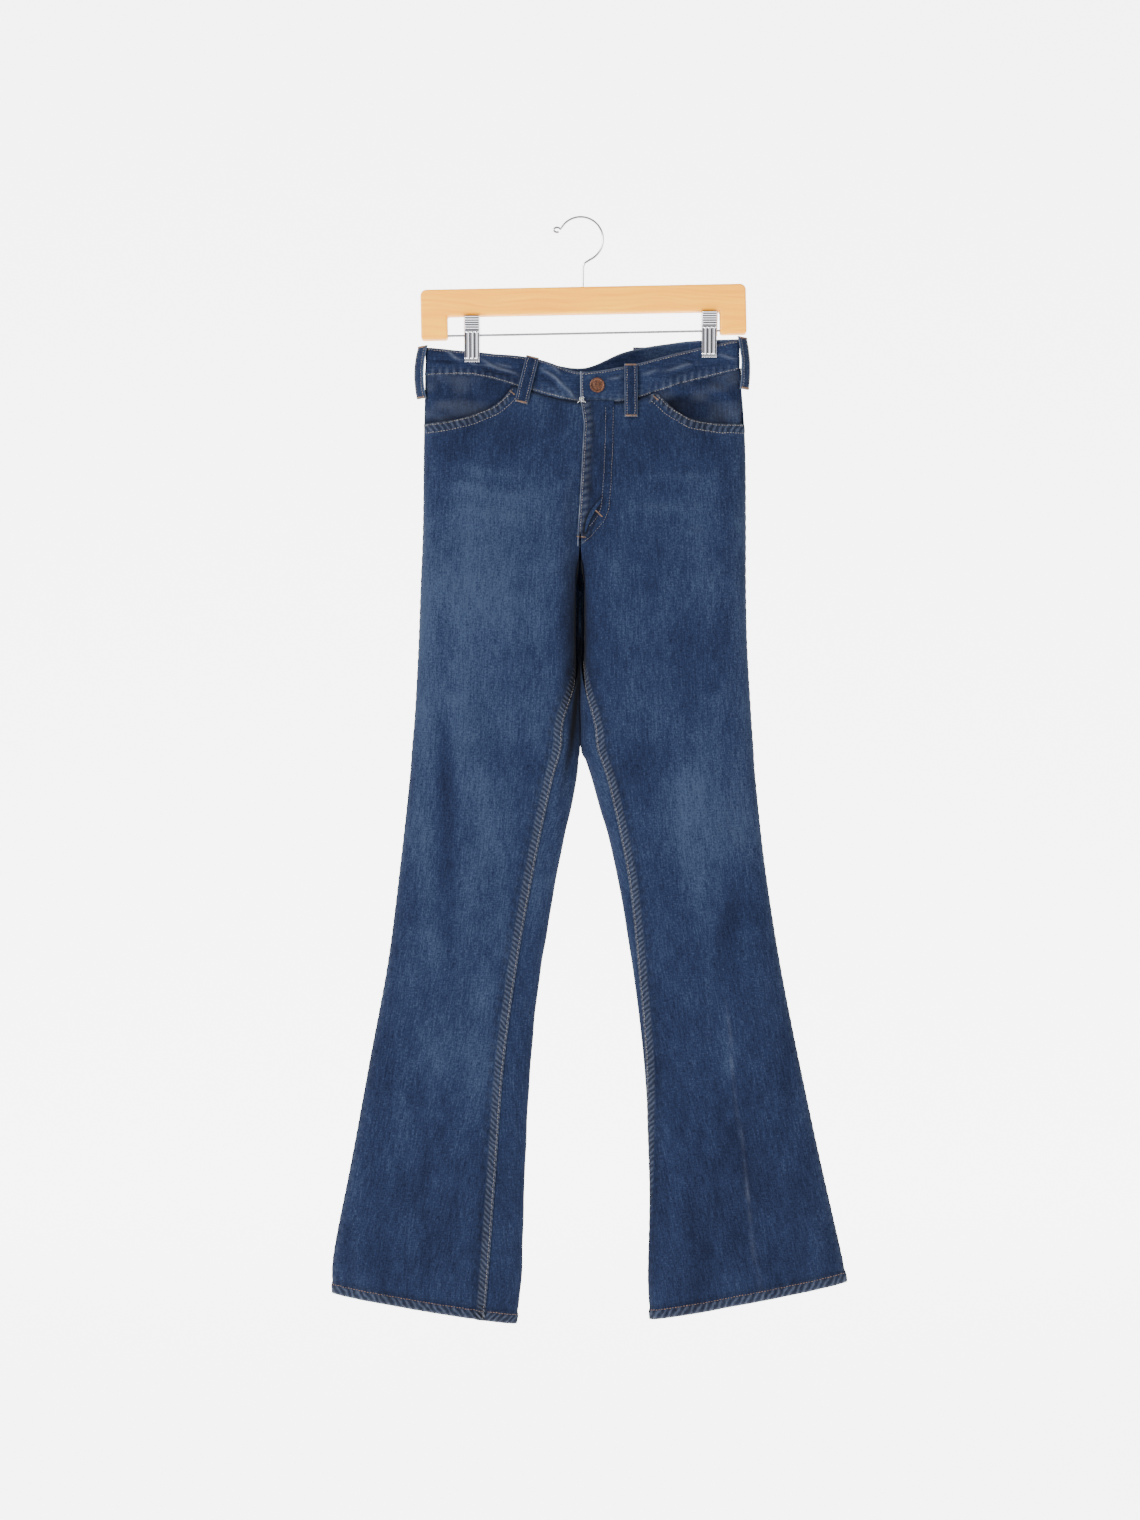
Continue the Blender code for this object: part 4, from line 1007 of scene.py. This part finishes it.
def buildFly():
    rows, columns = 80, 26
    edge, curve = np.array(flyEdge), np.array(flyCurve)
    zs = np.linspace(-0.2160, -0.3865, rows + 1)[:, None]
    part = np.linspace(0.0, 1.0, columns + 1)[None, :]
    near = np.interp(-zs, -edge[:, 1], edge[:, 0])
    far = np.maximum(np.interp(-zs, -curve[:, 1], curve[:, 0]), near + 0.001)
    xs = near + (far - near) * part
    zs = zs + 0.0 * xs
    wide = (far - near) * (1.0 - part)
    lift = 0.0003 + 0.0013 * ease(wide / 0.02) * ease((zs + 0.3865) / 0.01 + 0.2)
    points = layOn(frontTrees, xs, zs, "front", lift)
    fromEdge = (xs - near)
    rope = ropes(-zs + 0.3 * xs, 0.0085)
    creased = troughs(flyCreases, xs, zs)
    points[..., 1] += creased
    points[..., 1] -= 0.0008 * bell(fromEdge - 0.0025, 0.002) * (0.5 + 0.5 * rope)
    points[..., 1] += 0.0006 * bell(wide - 0.0045, 0.003) * rope
    tone = 0.30 + 0.14 * latticeNoise(xs, zs, (0.006, 0.020), 61) + 0.16 * bell(wide - 0.005, 0.004) * rope
    wearAndHighlight = (0.55 + 0.3 * latticeNoise(zs, xs, (0.006, 0.01), 63)) * bell(fromEdge, 0.0008)
    wearAndHighlight = wearAndHighlight + 0.16 * bell(fromEdge - 0.006, 0.004) * rope
    shade = 300.0 * np.clip(creased, 0.0, 1.0)
    shade = shade + 0.92 * troughs(flyShadows, xs, zs)
    shade = shade + 0.25 * bell(fromEdge - 0.010, 0.004)
    thing = gridObject("fly_cloth", points, (0.0, -1.0, 0.0), denim, (xs, zs),
                       {"tone": tone, "wearAndHighlight": np.clip(wearAndHighlight, 0, 1), "shade": np.clip(shade, 0, 0.85)}, 0.0012)
    panels["fly"] = {"points": points}
    return settle(thing, "fly")


def buildFacing(side):
    # the pocket's own facing: flush above, gaping on the left where the hand goes in
    sign = 1.0 if side == "left" else -1.0
    scoop = leftScoop if side == "left" else rightScoop
    rows, columns = 34, 46
    reach = np.linspace(0.066, 0.1815 if side == "right" else 0.1885, columns + 1)[None, :]
    xs = sign * reach + np.zeros((rows + 1, 1))
    high = follow(frontSeam, xs) + 0.003
    low = follow(scoop, xs) - 0.014
    part = np.linspace(0.0, 1.0, rows + 1)[:, None]
    zs = high + (low - high) * part
    points = clothPoints(xs, zs, "front", -0.0011)
    fromEdge = ease((np.abs(points[0, -1, 0]) + 0.0005 - reach) / 0.012)
    if side == "left":
        lip = np.interp(reach, (0.085, 0.103, 0.118, 0.150, 0.172, 0.187),
                        (-0.207, -0.2085, -0.2045, -0.2030, -0.2130, -0.232))
        sunk = ease((lip - zs) / 0.010) * ease((reach - 0.096) / 0.012) * ease((0.176 - reach) / 0.014)
        swell = bell(zs - lip - 0.006, 0.006) * ease((reach - 0.096) / 0.02)
        points[..., 1] += 0.0075 * sunk - 0.0022 * swell * fromEdge
    else:
        sunk = bell(follow(scoop, xs) + 0.003 - zs, 0.004)
        points[..., 1] += 0.0012 * sunk * fromEdge
    points[..., 1] += 0.0008 * latticeNoise(xs, zs, (0.018, 0.012), 71) * fromEdge
    tone = 0.30 + 0.16 * latticeNoise(xs, zs, (0.012, 0.020), 73)
    wearAndHighlight = 0.03 + 0.06 * latticeNoise(xs, zs, (0.02, 0.01), 74)
    shade = sunk * (0.16 + 0.62 * ease((0.150 - reach) / 0.05)) if side == "left" else 0.35 * sunk
    shade = shade + 0.32 * ease((follow(scoop, xs) + 0.005 - zs) / 0.007)
    thing = gridObject("facing_" + side + "_cloth", points, (0.0, -1.0, 0.0), denim, (xs, zs),
                       {"tone": tone, "wearAndHighlight": wearAndHighlight, "shade": np.clip(shade, 0, 0.8)}, 0.0012)
    panels["facing", side] = {"points": points}
    return settle(thing, "pocket_facing_" + side)


def buildYoke(side):
    grid, toOut, toIn = naturalGrid(side, "back", spread(panelColumns), 160)
    points, (toOut, toIn) = resample(grid, (toOut, toIn), lambda x: follow(backSeam, x), 48,
                                     lambda x: follow(yokeSeam, x) - 0.0006)
    normals = gridNormals(points, (0.0, 1.0, 0.0))
    x, z = points[..., 0], points[..., 2]
    fromSeam = z - points[-1, :, 2][None, :]
    rope = ropes(x - 0.5 * fromSeam, 0.0090)
    fell = ease((0.011 - fromSeam) / 0.002)
    middle = ease((0.011 - toIn) / 0.002) * (1.0 if side == "left" else 0.4)
    push = fell * (0.0008 + 0.0005 * rope) + 0.0007 * latticeNoise(x, z, (0.03, 0.02), 81)
    push = push * ease(toOut / 0.02) + middle * 0.0006
    points = points + push[..., None] * normals
    tone = 0.50 + 0.12 * latticeNoise(x, z, (0.02, 0.03), 83)
    wearAndHighlight = fell * (0.04 + 0.16 * rope**2) + 0.3 * bell(fromSeam, 0.0015) + 0.12 * middle
    thing = gridObject("yoke_" + side + "_cloth", points, (0.0, 1.0, 0.0), denim, (toOut + 0.9, z),
                       {"tone": tone, "wearAndHighlight": np.clip(wearAndHighlight, 0, 1), "shade": 0.0 * tone}, denimThick)
    panels["yoke", side] = {"points": points, "normals": gridNormals(points, (0.0, 1.0, 0.0)),
                            "toIn": toIn, "toOut": toOut}
    return settle(thing, "yoke_" + side)


pocketShape = {"wide": 0.140, "high": 0.150, "point": 0.022, "top": -0.272}


def pocketOutline(centre, inset):
    half, high, point = pocketShape["wide"] / 2, pocketShape["high"], pocketShape["point"]
    top = pocketShape["top"] - inset
    low = pocketShape["top"] - high + inset
    narrow = half * 0.92 - inset
    return ((centre - half + inset, top), (centre - narrow, low + point), (centre, low),
            (centre + narrow, low + point), (centre + half - inset, top))


def buildBackPocket(side):
    centre = -0.100 if side == "right" else 0.104
    rows, columns = 60, 60
    across = np.linspace(-1.0, 1.0, columns + 1)[None, :]
    down = np.linspace(0.0, 1.0, rows + 1)[:, None]
    half = pocketShape["wide"] / 2 * (1.0 - 0.08 * down)
    lowest = pocketShape["high"] - pocketShape["point"] * np.abs(across)
    xs = centre + half * across
    zs = pocketShape["top"] - lowest * down
    edge = np.minimum(np.minimum((1.0 - np.abs(across)) * half, (1.0 - down) * lowest), 0.02)
    points = layOn(backTrees, xs, zs, "back", 0.0004 + 0.0011 * ease(edge / 0.0025))
    topHem = ease((0.014 - (pocketShape["top"] - zs)) / 0.002)
    rope = ropes(xs + zs, 0.0095)
    points[..., 1] += topHem * 0.0006 + bell(edge - 0.006, 0.003) * 0.0004 * rope
    tone = 0.56 + 0.12 * latticeNoise(xs, zs, (0.02, 0.03), 91)
    wearAndHighlight = 0.30 * bell(edge, 0.0016) + 0.12 * bell(edge - 0.006, 0.004) * rope
    thing = gridObject("back_pocket_" + side + "_cloth", points, (0.0, 1.0, 0.0), denim, (xs, zs),
                       {"tone": tone, "wearAndHighlight": np.clip(wearAndHighlight, 0, 1), "shade": 0.0 * tone}, 0.0012)
    panels["pocket", side] = {"points": points}
    return settle(thing, "back_pocket_" + side)


loopWide = 0.0152


def buildLoop(name, centres, across, facing, tackAt):
    # a belt loop along its middle line, its edges rolled and stitched
    rows, columns = len(centres), 10
    part = np.linspace(-1.0, 1.0, columns + 1)
    centres, across, facing = np.asarray(centres), np.asarray(across, float), np.asarray(facing, float)
    length = np.linspace(0.0, 1.0, rows)[:, None]
    ribs = 0.00035 * np.cos(part * 2.6 * np.pi)[None, :] * ease(1.4 - np.abs(part))[None, :]
    roll = -0.0010 * np.clip((np.abs(part) - 0.82) / 0.18, 0.0, 1.0)[None, :] ** 2
    clothX, clothY = part[None, :] * 0.007 + 0.0 * length, length * 0.06 + 0.0 * part[None, :]
    fine = 0.00030 * latticeNoise(clothX, clothY, (0.004, 0.006), len(name))
    out = 0.0020 + ribs + roll + fine
    points = (centres[:, None, :] + part[None, :, None] * across * loopWide / 2 + out[..., None] * facing)
    tone = (0.62 if "side" in name else 0.36) + 0.16 * np.abs(part)[None, :] ** 3
    tone = tone + 0.16 * latticeNoise(clothX, clothY, (0.003, 0.007), 101)
    wearAndHighlight = 0.26 * np.clip((np.abs(part) - 0.80) / 0.15, 0.0, 1.0)[None, :] + 0.0 * length
    wearAndHighlight = wearAndHighlight + 0.22 * bell(length, 0.03) + 0.20 * bell(1.0 - length, 0.03)
    shade = 0.16 * bell(part, 0.30)[None, :] + 0.0 * length
    uv = (clothX, clothY)
    thing = gridObject(name + "_cloth", points, tuple(facing), denim, uv,
                       {"tone": tone, "wearAndHighlight": wearAndHighlight, "shade": shade}, 0.0019)
    normals = gridNormals(points, facing)
    for column in (2, columns - 2):
        sew("tan", points[2:-2, column], normals[2:-2, column], pitch=0.0030, long=0.0023)
    for end, row in enumerate((1, rows - 2)):
        if end in tackAt:
            path = points[row, 1:-1]
            for k in np.linspace(0.0, 1.0, 20):
                middle = path[0] + (path[-1] - path[0]) * k + facing * 0.0003
                rise = (points[row + 1, 5] - points[row - 1, 5])
                rise = rise / np.linalg.norm(rise) * 0.0011
                sew("orange", [middle - rise, middle + rise], [facing, facing], pitch=0.0021, long=0.0024,
                    thick=0.00036, wander=0.0)
    panels[name] = {"points": points}
    return settle(thing, name)


def buildLoops():
    made = []
    parts = np.linspace(0.0, 1.0, 41)
    for name, face, topX, lowX, rise, drop in (
            ("loop_front_right", "front", -0.0550, -0.0685, 0.0012, 0.018),
            ("loop_front_left", "front", 0.0590, 0.0592, 0.0012, 0.020),
            ("loop_back_right", "back", -0.0490, -0.0490, 0.0020, 0.018),
            ("loop_back_left", "back", 0.0700, 0.0700, 0.0020, 0.018)):
        low, high = (frontSeam, frontTop) if face == "front" else (backSeam, backTop)
        xs = topX + (lowX - topX) * parts
        topZ, lowZ = follow(high, topX) + rise, follow(low, lowX) - drop
        zs = topZ + (lowZ - topZ) * parts
        points = clothPoints(xs, np.minimum(zs, topZ), face)
        off = 0.0010 + 0.0030 * np.sin(np.pi * parts) ** 0.7
        sign = -1.0 if face == "front" else 1.0
        points[:, 1] += sign * off
        slant = Vector((lowX - topX, 0.0, lowZ - topZ)).normalized()
        across = (-slant.z, 0.0, slant.x)
        made.append(buildLoop(name, points, across, (0.0, sign, 0.0), (0, 1)))
    for name, side, top, low, swell, turn in (
            ("loop_side_right", -1, (-0.1822, -0.0010, -0.1500), (-0.1835, -0.0010, -0.2120), 0.0042, 0.86),
            ("loop_side_left", 1, (0.1882, -0.0010, -0.1395), (0.1905, -0.0010, -0.2010), 0.0032, 0.82)):
        top, low = np.array(top), np.array(low)
        points = top + (low - top) * parts[:, None]
        points[:, 0] += side * (0.0006 + swell * np.sin(np.pi * parts) ** 0.8)
        across = (side * math.sin(turn), math.cos(turn), 0.0)
        facing = (side * math.cos(turn), -math.sin(turn), 0.0)
        made.append(buildLoop(name, points, across, facing, (0, 1)))
    return made


fly = buildFly()
facings = {side: buildFacing(side) for side in ("left", "right")}
yokes = {side: buildYoke(side) for side in ("left", "right")}
backPockets = {side: buildBackPocket(side) for side in ("left", "right")}
loops = buildLoops()
flyTree = gridTree(panels["fly"]["points"])
frontTrees.append(flyTree)
backTrees.append(gridTree(panels["yoke", "left"]["points"], panels["yoke", "right"]["points"]))
pocketTrees = backTrees + [gridTree(panels["pocket", "left"]["points"], panels["pocket", "right"]["points"])]
print("small cloth built")


def sewAll():
    for side in ("right", "left"):
        front, back = panels[side, "front"], panels[side, "back"]
        rows = [i for i in range(panelRows + 1) if front["points"][i, 0, 2] < -0.40]
        path, ups = gridLine(front, front["toIn"], 0.0022, rows)
        below = path[:, 2] < (-0.540 if side == "right" else -0.515)
        sew("tan", path[below], ups[below], thick=0.00032)
        # hem
        for piece in (front, back):
            points, normals = piece["points"], piece["normals"]
            path = np.array([[np.interp(-(points[-1, k, 2] + 0.0108), -points[:, k, 2], points[:, k, axis])
                              for axis in range(3)] for k in range(1, points.shape[1] - 1)])
            sew("orange", path, normals[-9, 1:-1])
        # pocket rim
        scoop = rightScoop if side == "right" else leftScoop
        sign = 1.0 if side == "right" else -1.0
        for distance in (0.0020, 0.0108):
            sewOn("tan", frontTrees, offsetMarks(scoop, -sign * distance, 0.02, 0.97), "front")
        xs = (-0.176, -0.004) if side == "right" else (0.004, 0.184)
        centre = -0.100 if side == "right" else 0.104
        for inset in seamRows:
            sewOn("orange", backTrees, seamMarks(yokeSeam, *xs, drop=-inset), "back")
            sewOn("orange", pocketTrees, pocketOutline(centre, 0.0012 + inset), "back")
        half = pocketShape["wide"] / 2
        sewOn("orange", pocketTrees, ((centre - half + 0.002, pocketShape["top"] - 0.012),
                                      (centre + half - 0.002, pocketShape["top"] - 0.012)), "back")
        for edge in (-half + 0.004, half - 0.004):
            tack("orange", pocketTrees, (centre + edge, pocketShape["top"] - 0.001),
                 (centre + edge, pocketShape["top"] - 0.010), "back")
    # rows along the band
    trees = [bandTree]
    for low, high in ((-0.178, 0.0), (0.002, 0.184)):
        sewOn("tan", trees, seamMarks(frontTop, low, high, drop=0.0026), "front")
        sewOn("tan", trees, seamMarks(frontSeam, low, high, drop=-0.0024), "front")
        sewOn("tan", trees, seamMarks(backTop, low, high, drop=0.0026), "back")
        sewOn("tan", trees, seamMarks(backSeam, low, high, drop=-0.0024), "back")
    sewOn("tan", trees, ((0.0030, -0.184), (0.0032, -0.2145)), "front")
    # the fly's curved rows, its front edge and the rise at the back
    sewOn("tan", frontTrees, offsetMarks(flyCurve, -0.0012, 0.01, 0.97), "front", thick=0.00026)
    sewOn("tan", frontTrees, offsetMarks(flyCurve, -0.0100, 0.01, 0.86), "front", thick=0.00026)
    edge = np.array([(x + 0.0026, z) for x, z in flyEdge if z < -0.21])
    sewOn("tan", frontTrees, edge, "front")
    for inset in (0.0024, 0.0085):
        sewOn("orange", backTrees, ((inset, -0.216), (inset, -0.430)), "back")
    tack("orange", frontTrees, (-0.0035, -0.3755), (0.0065, -0.3762), "front")
    tack("orange", frontTrees, (0.0185, -0.3455), (0.0255, -0.3525), "front")
    for x, z in ((-0.0790, -0.2010), (0.0880, -0.2080)):
        tack("orange", frontTrees + [bandTree], (x - 0.003, z - 0.003), (x + 0.003, z - 0.008), "front")
    # loose white ends where the band's corner has frayed
    rng = np.random.default_rng(7)
    for k in range(16):
        x, z = 0.0035 + rng.normal(0, 0.0028), -0.2150 + rng.normal(0, 0.0022)
        hit = castOn(frontTrees + [bandTree], x, z, "front")
        if hit:
            turn = rng.uniform(0, math.pi)
            step = Vector((math.cos(turn), -0.25, math.sin(turn))) * 0.0021
            sew("white", [hit[0] - step, hit[0] + step], [hit[1], hit[1]], pitch=0.0040, long=0.0042,
                thick=0.00026, lift=0.0006, wander=0.0)


def buildThread(kind, finish):
    # every stitch of one colour in one mesh
    base = bmesh.new()
    bmesh.ops.create_icosphere(base, subdivisions=1, radius=1.0)
    ball = np.array([vert.co for vert in base.verts])
    base.verts.index_update()
    faces = np.array([[vert.index for vert in face.verts] for face in base.faces])
    base.free()
    middle = np.concatenate([here for here, _ in threads[kind]])
    axes = np.concatenate([turned for _, turned in threads[kind]])
    verts = middle[:, None, :] + np.einsum("vk,nkc->nvc", ball, axes)
    quads = faces[None, :, :] + (np.arange(len(middle)) * len(ball))[:, None, None]
    mesh = bpy.data.meshes.new("thread_" + kind)
    mesh.from_pydata(verts.reshape(-1, 3).tolist(), [], quads.reshape(-1, 3).tolist())
    mesh.update()
    mesh.shade_smooth()
    mesh.materials.append(finish)
    thing = addThing("thread_" + kind, mesh)
    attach(thing, "root")
    print("thread", kind, len(middle), "stitches")
    return thing


def threadFinish(name, dark, light):
    finish = Finish(name, Roughness=0.75, Sheen_Weight=0.2)
    place = finish.node("ShaderNodeTexCoord", output=3)
    along = finish.node("ShaderNodeVectorMath", {"operation": "SCALE"}, {0: place, "Scale": 160.0})
    patch = finish.noise(along, 2.0)
    finish.put("Base Color", finish.mix(((patch - 0.35) * 3.0).limit(), dark, light))
    return finish.material


sewAll()
threadColours = {
    "tan": ((0.045, 0.040, 0.040, 1), (0.15, 0.128, 0.110, 1)),
    "orange": ((0.045, 0.022, 0.012, 1), (0.17, 0.078, 0.030, 1)),
    "white": ((0.45, 0.45, 0.45, 1), (0.75, 0.75, 0.74, 1))}
threadThings = [buildThread(kind, threadFinish(kind + " thread", *pair))
                for kind, pair in threadColours.items()]
print("stitches built")


def spunObject(name, profile, segments, finish, place, turn):
    # a profile of (radius, height) turned round z, then laid in place
    shape = bmesh.new()
    verts = [shape.verts.new((radius, 0.0, height)) for radius, height in profile]
    edges = [shape.edges.new(pair) for pair in zip(verts, verts[1:])]
    bmesh.ops.spin(shape, geom=verts + edges, cent=(0, 0, 0), axis=(0, 0, 1), angle=2 * math.pi,
                   steps=segments, use_merge=True)
    bmesh.ops.remove_doubles(shape, verts=shape.verts, dist=1e-6)
    bmesh.ops.recalc_face_normals(shape, faces=shape.faces)
    if shape.calc_volume(signed=True) < 0:
        bmesh.ops.reverse_faces(shape, faces=shape.faces)
    bmesh.ops.transform(shape, matrix=Matrix.Translation(place) @ turn, verts=shape.verts)
    mesh = bpy.data.meshes.new(name)
    shape.to_mesh(mesh)
    shape.free()
    mesh.shade_smooth()
    mesh.set_sharp_from_angle(angle=math.radians(38))
    mesh.materials.append(finish)
    thing = addThing(name, mesh)
    return thing


def buildButton():
    profile = [(0.0, 0.0002), (0.0036, 0.0002), (0.0036, 0.0014), (0.0076, 0.0016), (0.0084, 0.0021),
               (0.0087, 0.0027), (0.0084, 0.0033), (0.0077, 0.0036), (0.0069, 0.0035), (0.0063, 0.0030),
               (0.0060, 0.0027), (0.0052, 0.0028), (0.0046, 0.0027), (0.0040, 0.0029), (0.0026, 0.0030),
               (0.0024, 0.0026), (0.0012, 0.0025), (0.0, 0.0026)]
    copper = Finish("copper finish", Metallic=0.75)
    place = copper.node("ShaderNodeTexCoord", output=3)
    scaled = copper.node("ShaderNodeVectorMath", {"operation": "SCALE"}, {0: place, "Scale": 700.0})
    patch = copper.noise(scaled, 3.0)
    tarnished, bright = (0.020, 0.010, 0.007, 1), (0.150, 0.060, 0.032, 1)
    copper.put("Base Color", copper.mix(((patch - 0.3) * 2.2).limit(), tarnished, bright))
    copper.put("Roughness", 0.62 - 0.25 * patch)
    x, z = 0.0200, -0.1985
    hit = castOn([bandTree], x, z, "front")
    turn = Matrix.Rotation(math.pi / 2, 4, "X")
    thing = spunObject("button_metal", profile, 48, copper.material, hit[0] + Vector((0, 0.0003, 0)), turn)
    settle(thing, "button")


buildButton()

barTop = np.array((0.0035, 0.0, -0.0816))
barTilt = math.radians(1.1)


def barPlace(x, z):
    return barTop + np.array((x * math.cos(barTilt) - z * math.sin(barTilt), 0.0,
                              x * math.sin(barTilt) + z * math.cos(barTilt)))


def chromeFinish(name, shine=0.14):
    chrome = Finish(name, Metallic=1.0, Roughness=shine)
    shade = chrome.attribute("shade")
    chrome.put("Base Color", chrome.mix(shade.limit(), (0.80, 0.79, 0.84, 1), (0.006, 0.006, 0.008, 1)))
    return chrome.material


def buildJaw(name, face, place, wide, finish):
    # a pressed steel plate: ribs above, flutes below, folded sides and a toothed lip
    rows, columns = 96, 48
    rise, fall = 0.0213, 0.0310
    part = np.linspace(-1.0, 1.0, columns + 1)[None, :]
    z = np.linspace(rise, -fall, rows + 1)[:, None]
    lean = np.interp(-z, (-rise, 0.0, fall), (0.0120, 0.0078, 0.0042))
    flat = np.clip(np.abs(part) / 0.90, 0.0, 1.0)
    folded = np.clip((np.abs(part) - 0.90) / 0.10, 0.0, 1.0)
    depth = lean - 0.0045 * folded * ease((z + fall) / 0.004 + 0.3)
    depth = depth - 0.0006 * ease((np.abs(part) - 0.82) / 0.08)
    upper = ease((z - 0.0045) / 0.0010)
    ribs = np.cos((z - 0.0045) / 0.0026 * 2 * np.pi)
    lower = ease((0.0030 - z) / 0.0012) * ease((z + fall - 0.0030) / 0.0010)
    flutes = np.cos(flat * np.sign(part) * 3.5 * np.pi)
    inside = ease((0.86 - np.abs(part)) / 0.06)
    depth = depth + inside * (upper * 0.00045 * ribs + lower * 0.00060 * flutes)
    lip = ease((-z - fall + 0.0022) / 0.0008)
    teeth = 0.5 + 0.5 * np.cos(part * 7.0 * np.pi)
    zs = z - 0.0009 * teeth * lip
    x = part * wide / 2
    points = np.stack((place[0] + x + 0.0 * z, place[1] + face * depth, place[2] + zs + 0.0 * x), axis=2)
    grooves = upper * (0.30 + 0.65 * ease((0.35 - ribs) / 0.9)) + lower * ease((0.0 - flutes) / 0.7) * 0.92
    shade = inside * grooves
    shade = shade + 0.5 * ease((np.abs(part) - 0.93) / 0.05) + 0.5 * lip * (1.0 - teeth)
    shade = shade + 0.45 * bell(z - 0.0038, 0.0008) * inside
    thing = gridObject(name, points, (0.0, float(face), 0.0), finish, (x + 0.0 * z, zs + 0.0 * x),
                       {"shade": np.clip(shade, 0.0, 1.0)}, 0.0007)
    return thing


def buildClips():
    chrome = chromeFinish("clip chrome")
    for word, clipX in zip(("right", "left"), clipPlaces):
        place = barPlace((clipX - barTop[0]) / math.cos(barTilt), -0.0535)
        for faceWord, face, wide in (("front", -1, clipWide), ("back", 1, clipWide - 0.0022)):
            jaw = buildJaw("jaw_" + word + "_" + faceWord, face, place, wide, chrome)
            settle(jaw, "clip_" + word + "_" + faceWord)


buildClips()


def woodFinish():
    wood = Finish("oiled beech")
    wood.shader.inputs["Specular IOR Level"].default_value = 0.22
    place = wood.node("ShaderNodeTexCoord", output=3)
    parts = wood.node("ShaderNodeSeparateXYZ", inputs={0: place})
    x = parts
    y, z = (Wire(wood.tree, parts.socket.node.outputs[k]) for k in (1, 2))
    bend = wood.noise(wood.vector(x * 7.0, y * 20.0, z * 20.0), 2.0)
    grain = wood.noise(wood.vector(x * 9.0, y * 260.0, z * 260.0 + bend * 9.0), 3.0)
    broad = wood.noise(wood.vector(x * 4.0, y * 30.0, z * 55.0 + bend * 3.0), 2.0)
    pale = wood.mix(((grain - 0.34) * 2.6).limit(), (0.80, 0.285, 0.001, 1), (0.95, 0.440, 0.003, 1))
    wood.put("Base Color", wood.mix(((broad - 0.40) * 2.0).limit(), pale, (0.86, 0.330, 0.001, 1)))
    wood.put("Roughness", 0.42 + 0.16 * grain)
    wood.bump(grain, 0.0002, 0.4)
    return wood.material


def dressFrame():
    wood = woodFinish()
    steel = Finish("bright wire", Metallic=1.0, Roughness=0.22)
    steel.shader.inputs["Base Color"].default_value = (0.26, 0.26, 0.28, 1.0)
    wires = ("hanger_hook", "hanger_rod", "clip_left_spring", "clip_right_spring")
    for node in ("hanger_bar",) + wires:
        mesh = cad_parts[node].data
        for index in range(len(mesh.materials)):
            mesh.materials[index] = steel.material if node in wires else wood


dressFrame()
print("hanger dressed")


# camera, light and the plain studio
camera = addThing("camera", bpy.data.cameras.new("camera"))
camera.data.lens = 50.0
camera.data.sensor_width = 36.0
camera.location = (-0.0117, -2.469, -0.634)
camera.rotation_euler = (math.pi / 2, 0.0, 0.0)
bpy.context.scene.camera = camera


def areaLight(name, place, target, size, power, colour):
    light = bpy.data.lights.new(name, "AREA")
    light.shape = "DISK"
    light.size = size
    light.energy = power
    light.color = colour
    thing = addThing(name, light)
    thing.location = place
    thing.rotation_euler = (Vector(target) - Vector(place)).to_track_quat("-Z", "Y").to_euler()
    return thing


areaLight("key light", (-1.9, -2.3, 0.9), (0.0, 0.0, -0.65), 1.3, 170.0, (1.0, 0.985, 0.965))
areaLight("fill light", (2.2, -2.0, -0.4), (0.0, 0.0, -0.65), 2.2, 30.0, (0.96, 0.98, 1.0))
areaLight("back light", (0.6, 2.2, 1.3), (0.0, 0.0, -0.6), 1.6, 30.0, (1.0, 1.0, 1.0))
world = bpy.data.worlds.new("studio")
bpy.context.scene.world = world
world.use_nodes = True
world.node_tree.nodes["Background"].inputs[0].default_value = (0.96, 0.975, 1.0, 1.0)
world.node_tree.nodes["Background"].inputs[1].default_value = 0.62


def buildStudio():
    # one sweep: floor, rounded corner, far wall
    floorZ, wallY, cornerRadius, half = -2.75, 3.4, 0.9, 7.0
    line = [(-6.0, floorZ), (wallY - cornerRadius, floorZ)]
    for step in range(1, 13):
        angle = math.pi / 2 * step / 12
        line.append((wallY - cornerRadius + cornerRadius * math.sin(angle),
                     floorZ + cornerRadius - cornerRadius * math.cos(angle)))
    line.append((wallY, 4.0))
    shape = bmesh.new()
    verts = [shape.verts.new((-half, y, z)) for y, z in line]
    edges = [shape.edges.new(pair) for pair in zip(verts, verts[1:])]
    grown = bmesh.ops.extrude_edge_only(shape, edges=edges)["geom"]
    bmesh.ops.translate(shape, vec=(2 * half, 0, 0),
                        verts=[item for item in grown if isinstance(item, bmesh.types.BMVert)])
    bmesh.ops.recalc_face_normals(shape, faces=shape.faces)
    mesh = bpy.data.meshes.new("studio")
    shape.to_mesh(mesh)
    shape.free()
    if mesh.polygons[0].normal.z < 0:
        mesh.flip_normals()
    mesh.shade_smooth()
    paint = Finish("studio paint", Roughness=0.95)
    paint.shader.inputs["Base Color"].default_value = (0.93, 0.93, 0.93, 1.0)
    paint.shader.inputs["Emission Color"].default_value = (1.0, 1.0, 1.0, 1.0)
    paint.shader.inputs["Emission Strength"].default_value = 4.0
    mesh.materials.append(paint.material)
    addThing("studio", mesh)


buildStudio()
for (side, face), thing in panelThings.items():
    setSheet(thing, panels[side, face]["points"], ["waistband"])
for side in ("left", "right"):
    setSheet(facings[side], panels["facing", side]["points"], ["waistband"])
    setSheet(yokes[side], panels["yoke", side]["points"], ["waistband"])
    setSheet(backPockets[side], panels["pocket", side]["points"], ["back_" + side])
setSheet(fly, panels["fly"]["points"], ["front_left"])
setSheet(band, panels["band"]["points"], ["clip_left_front", "clip_right_front"],
         withPieces=loops + threadThings)
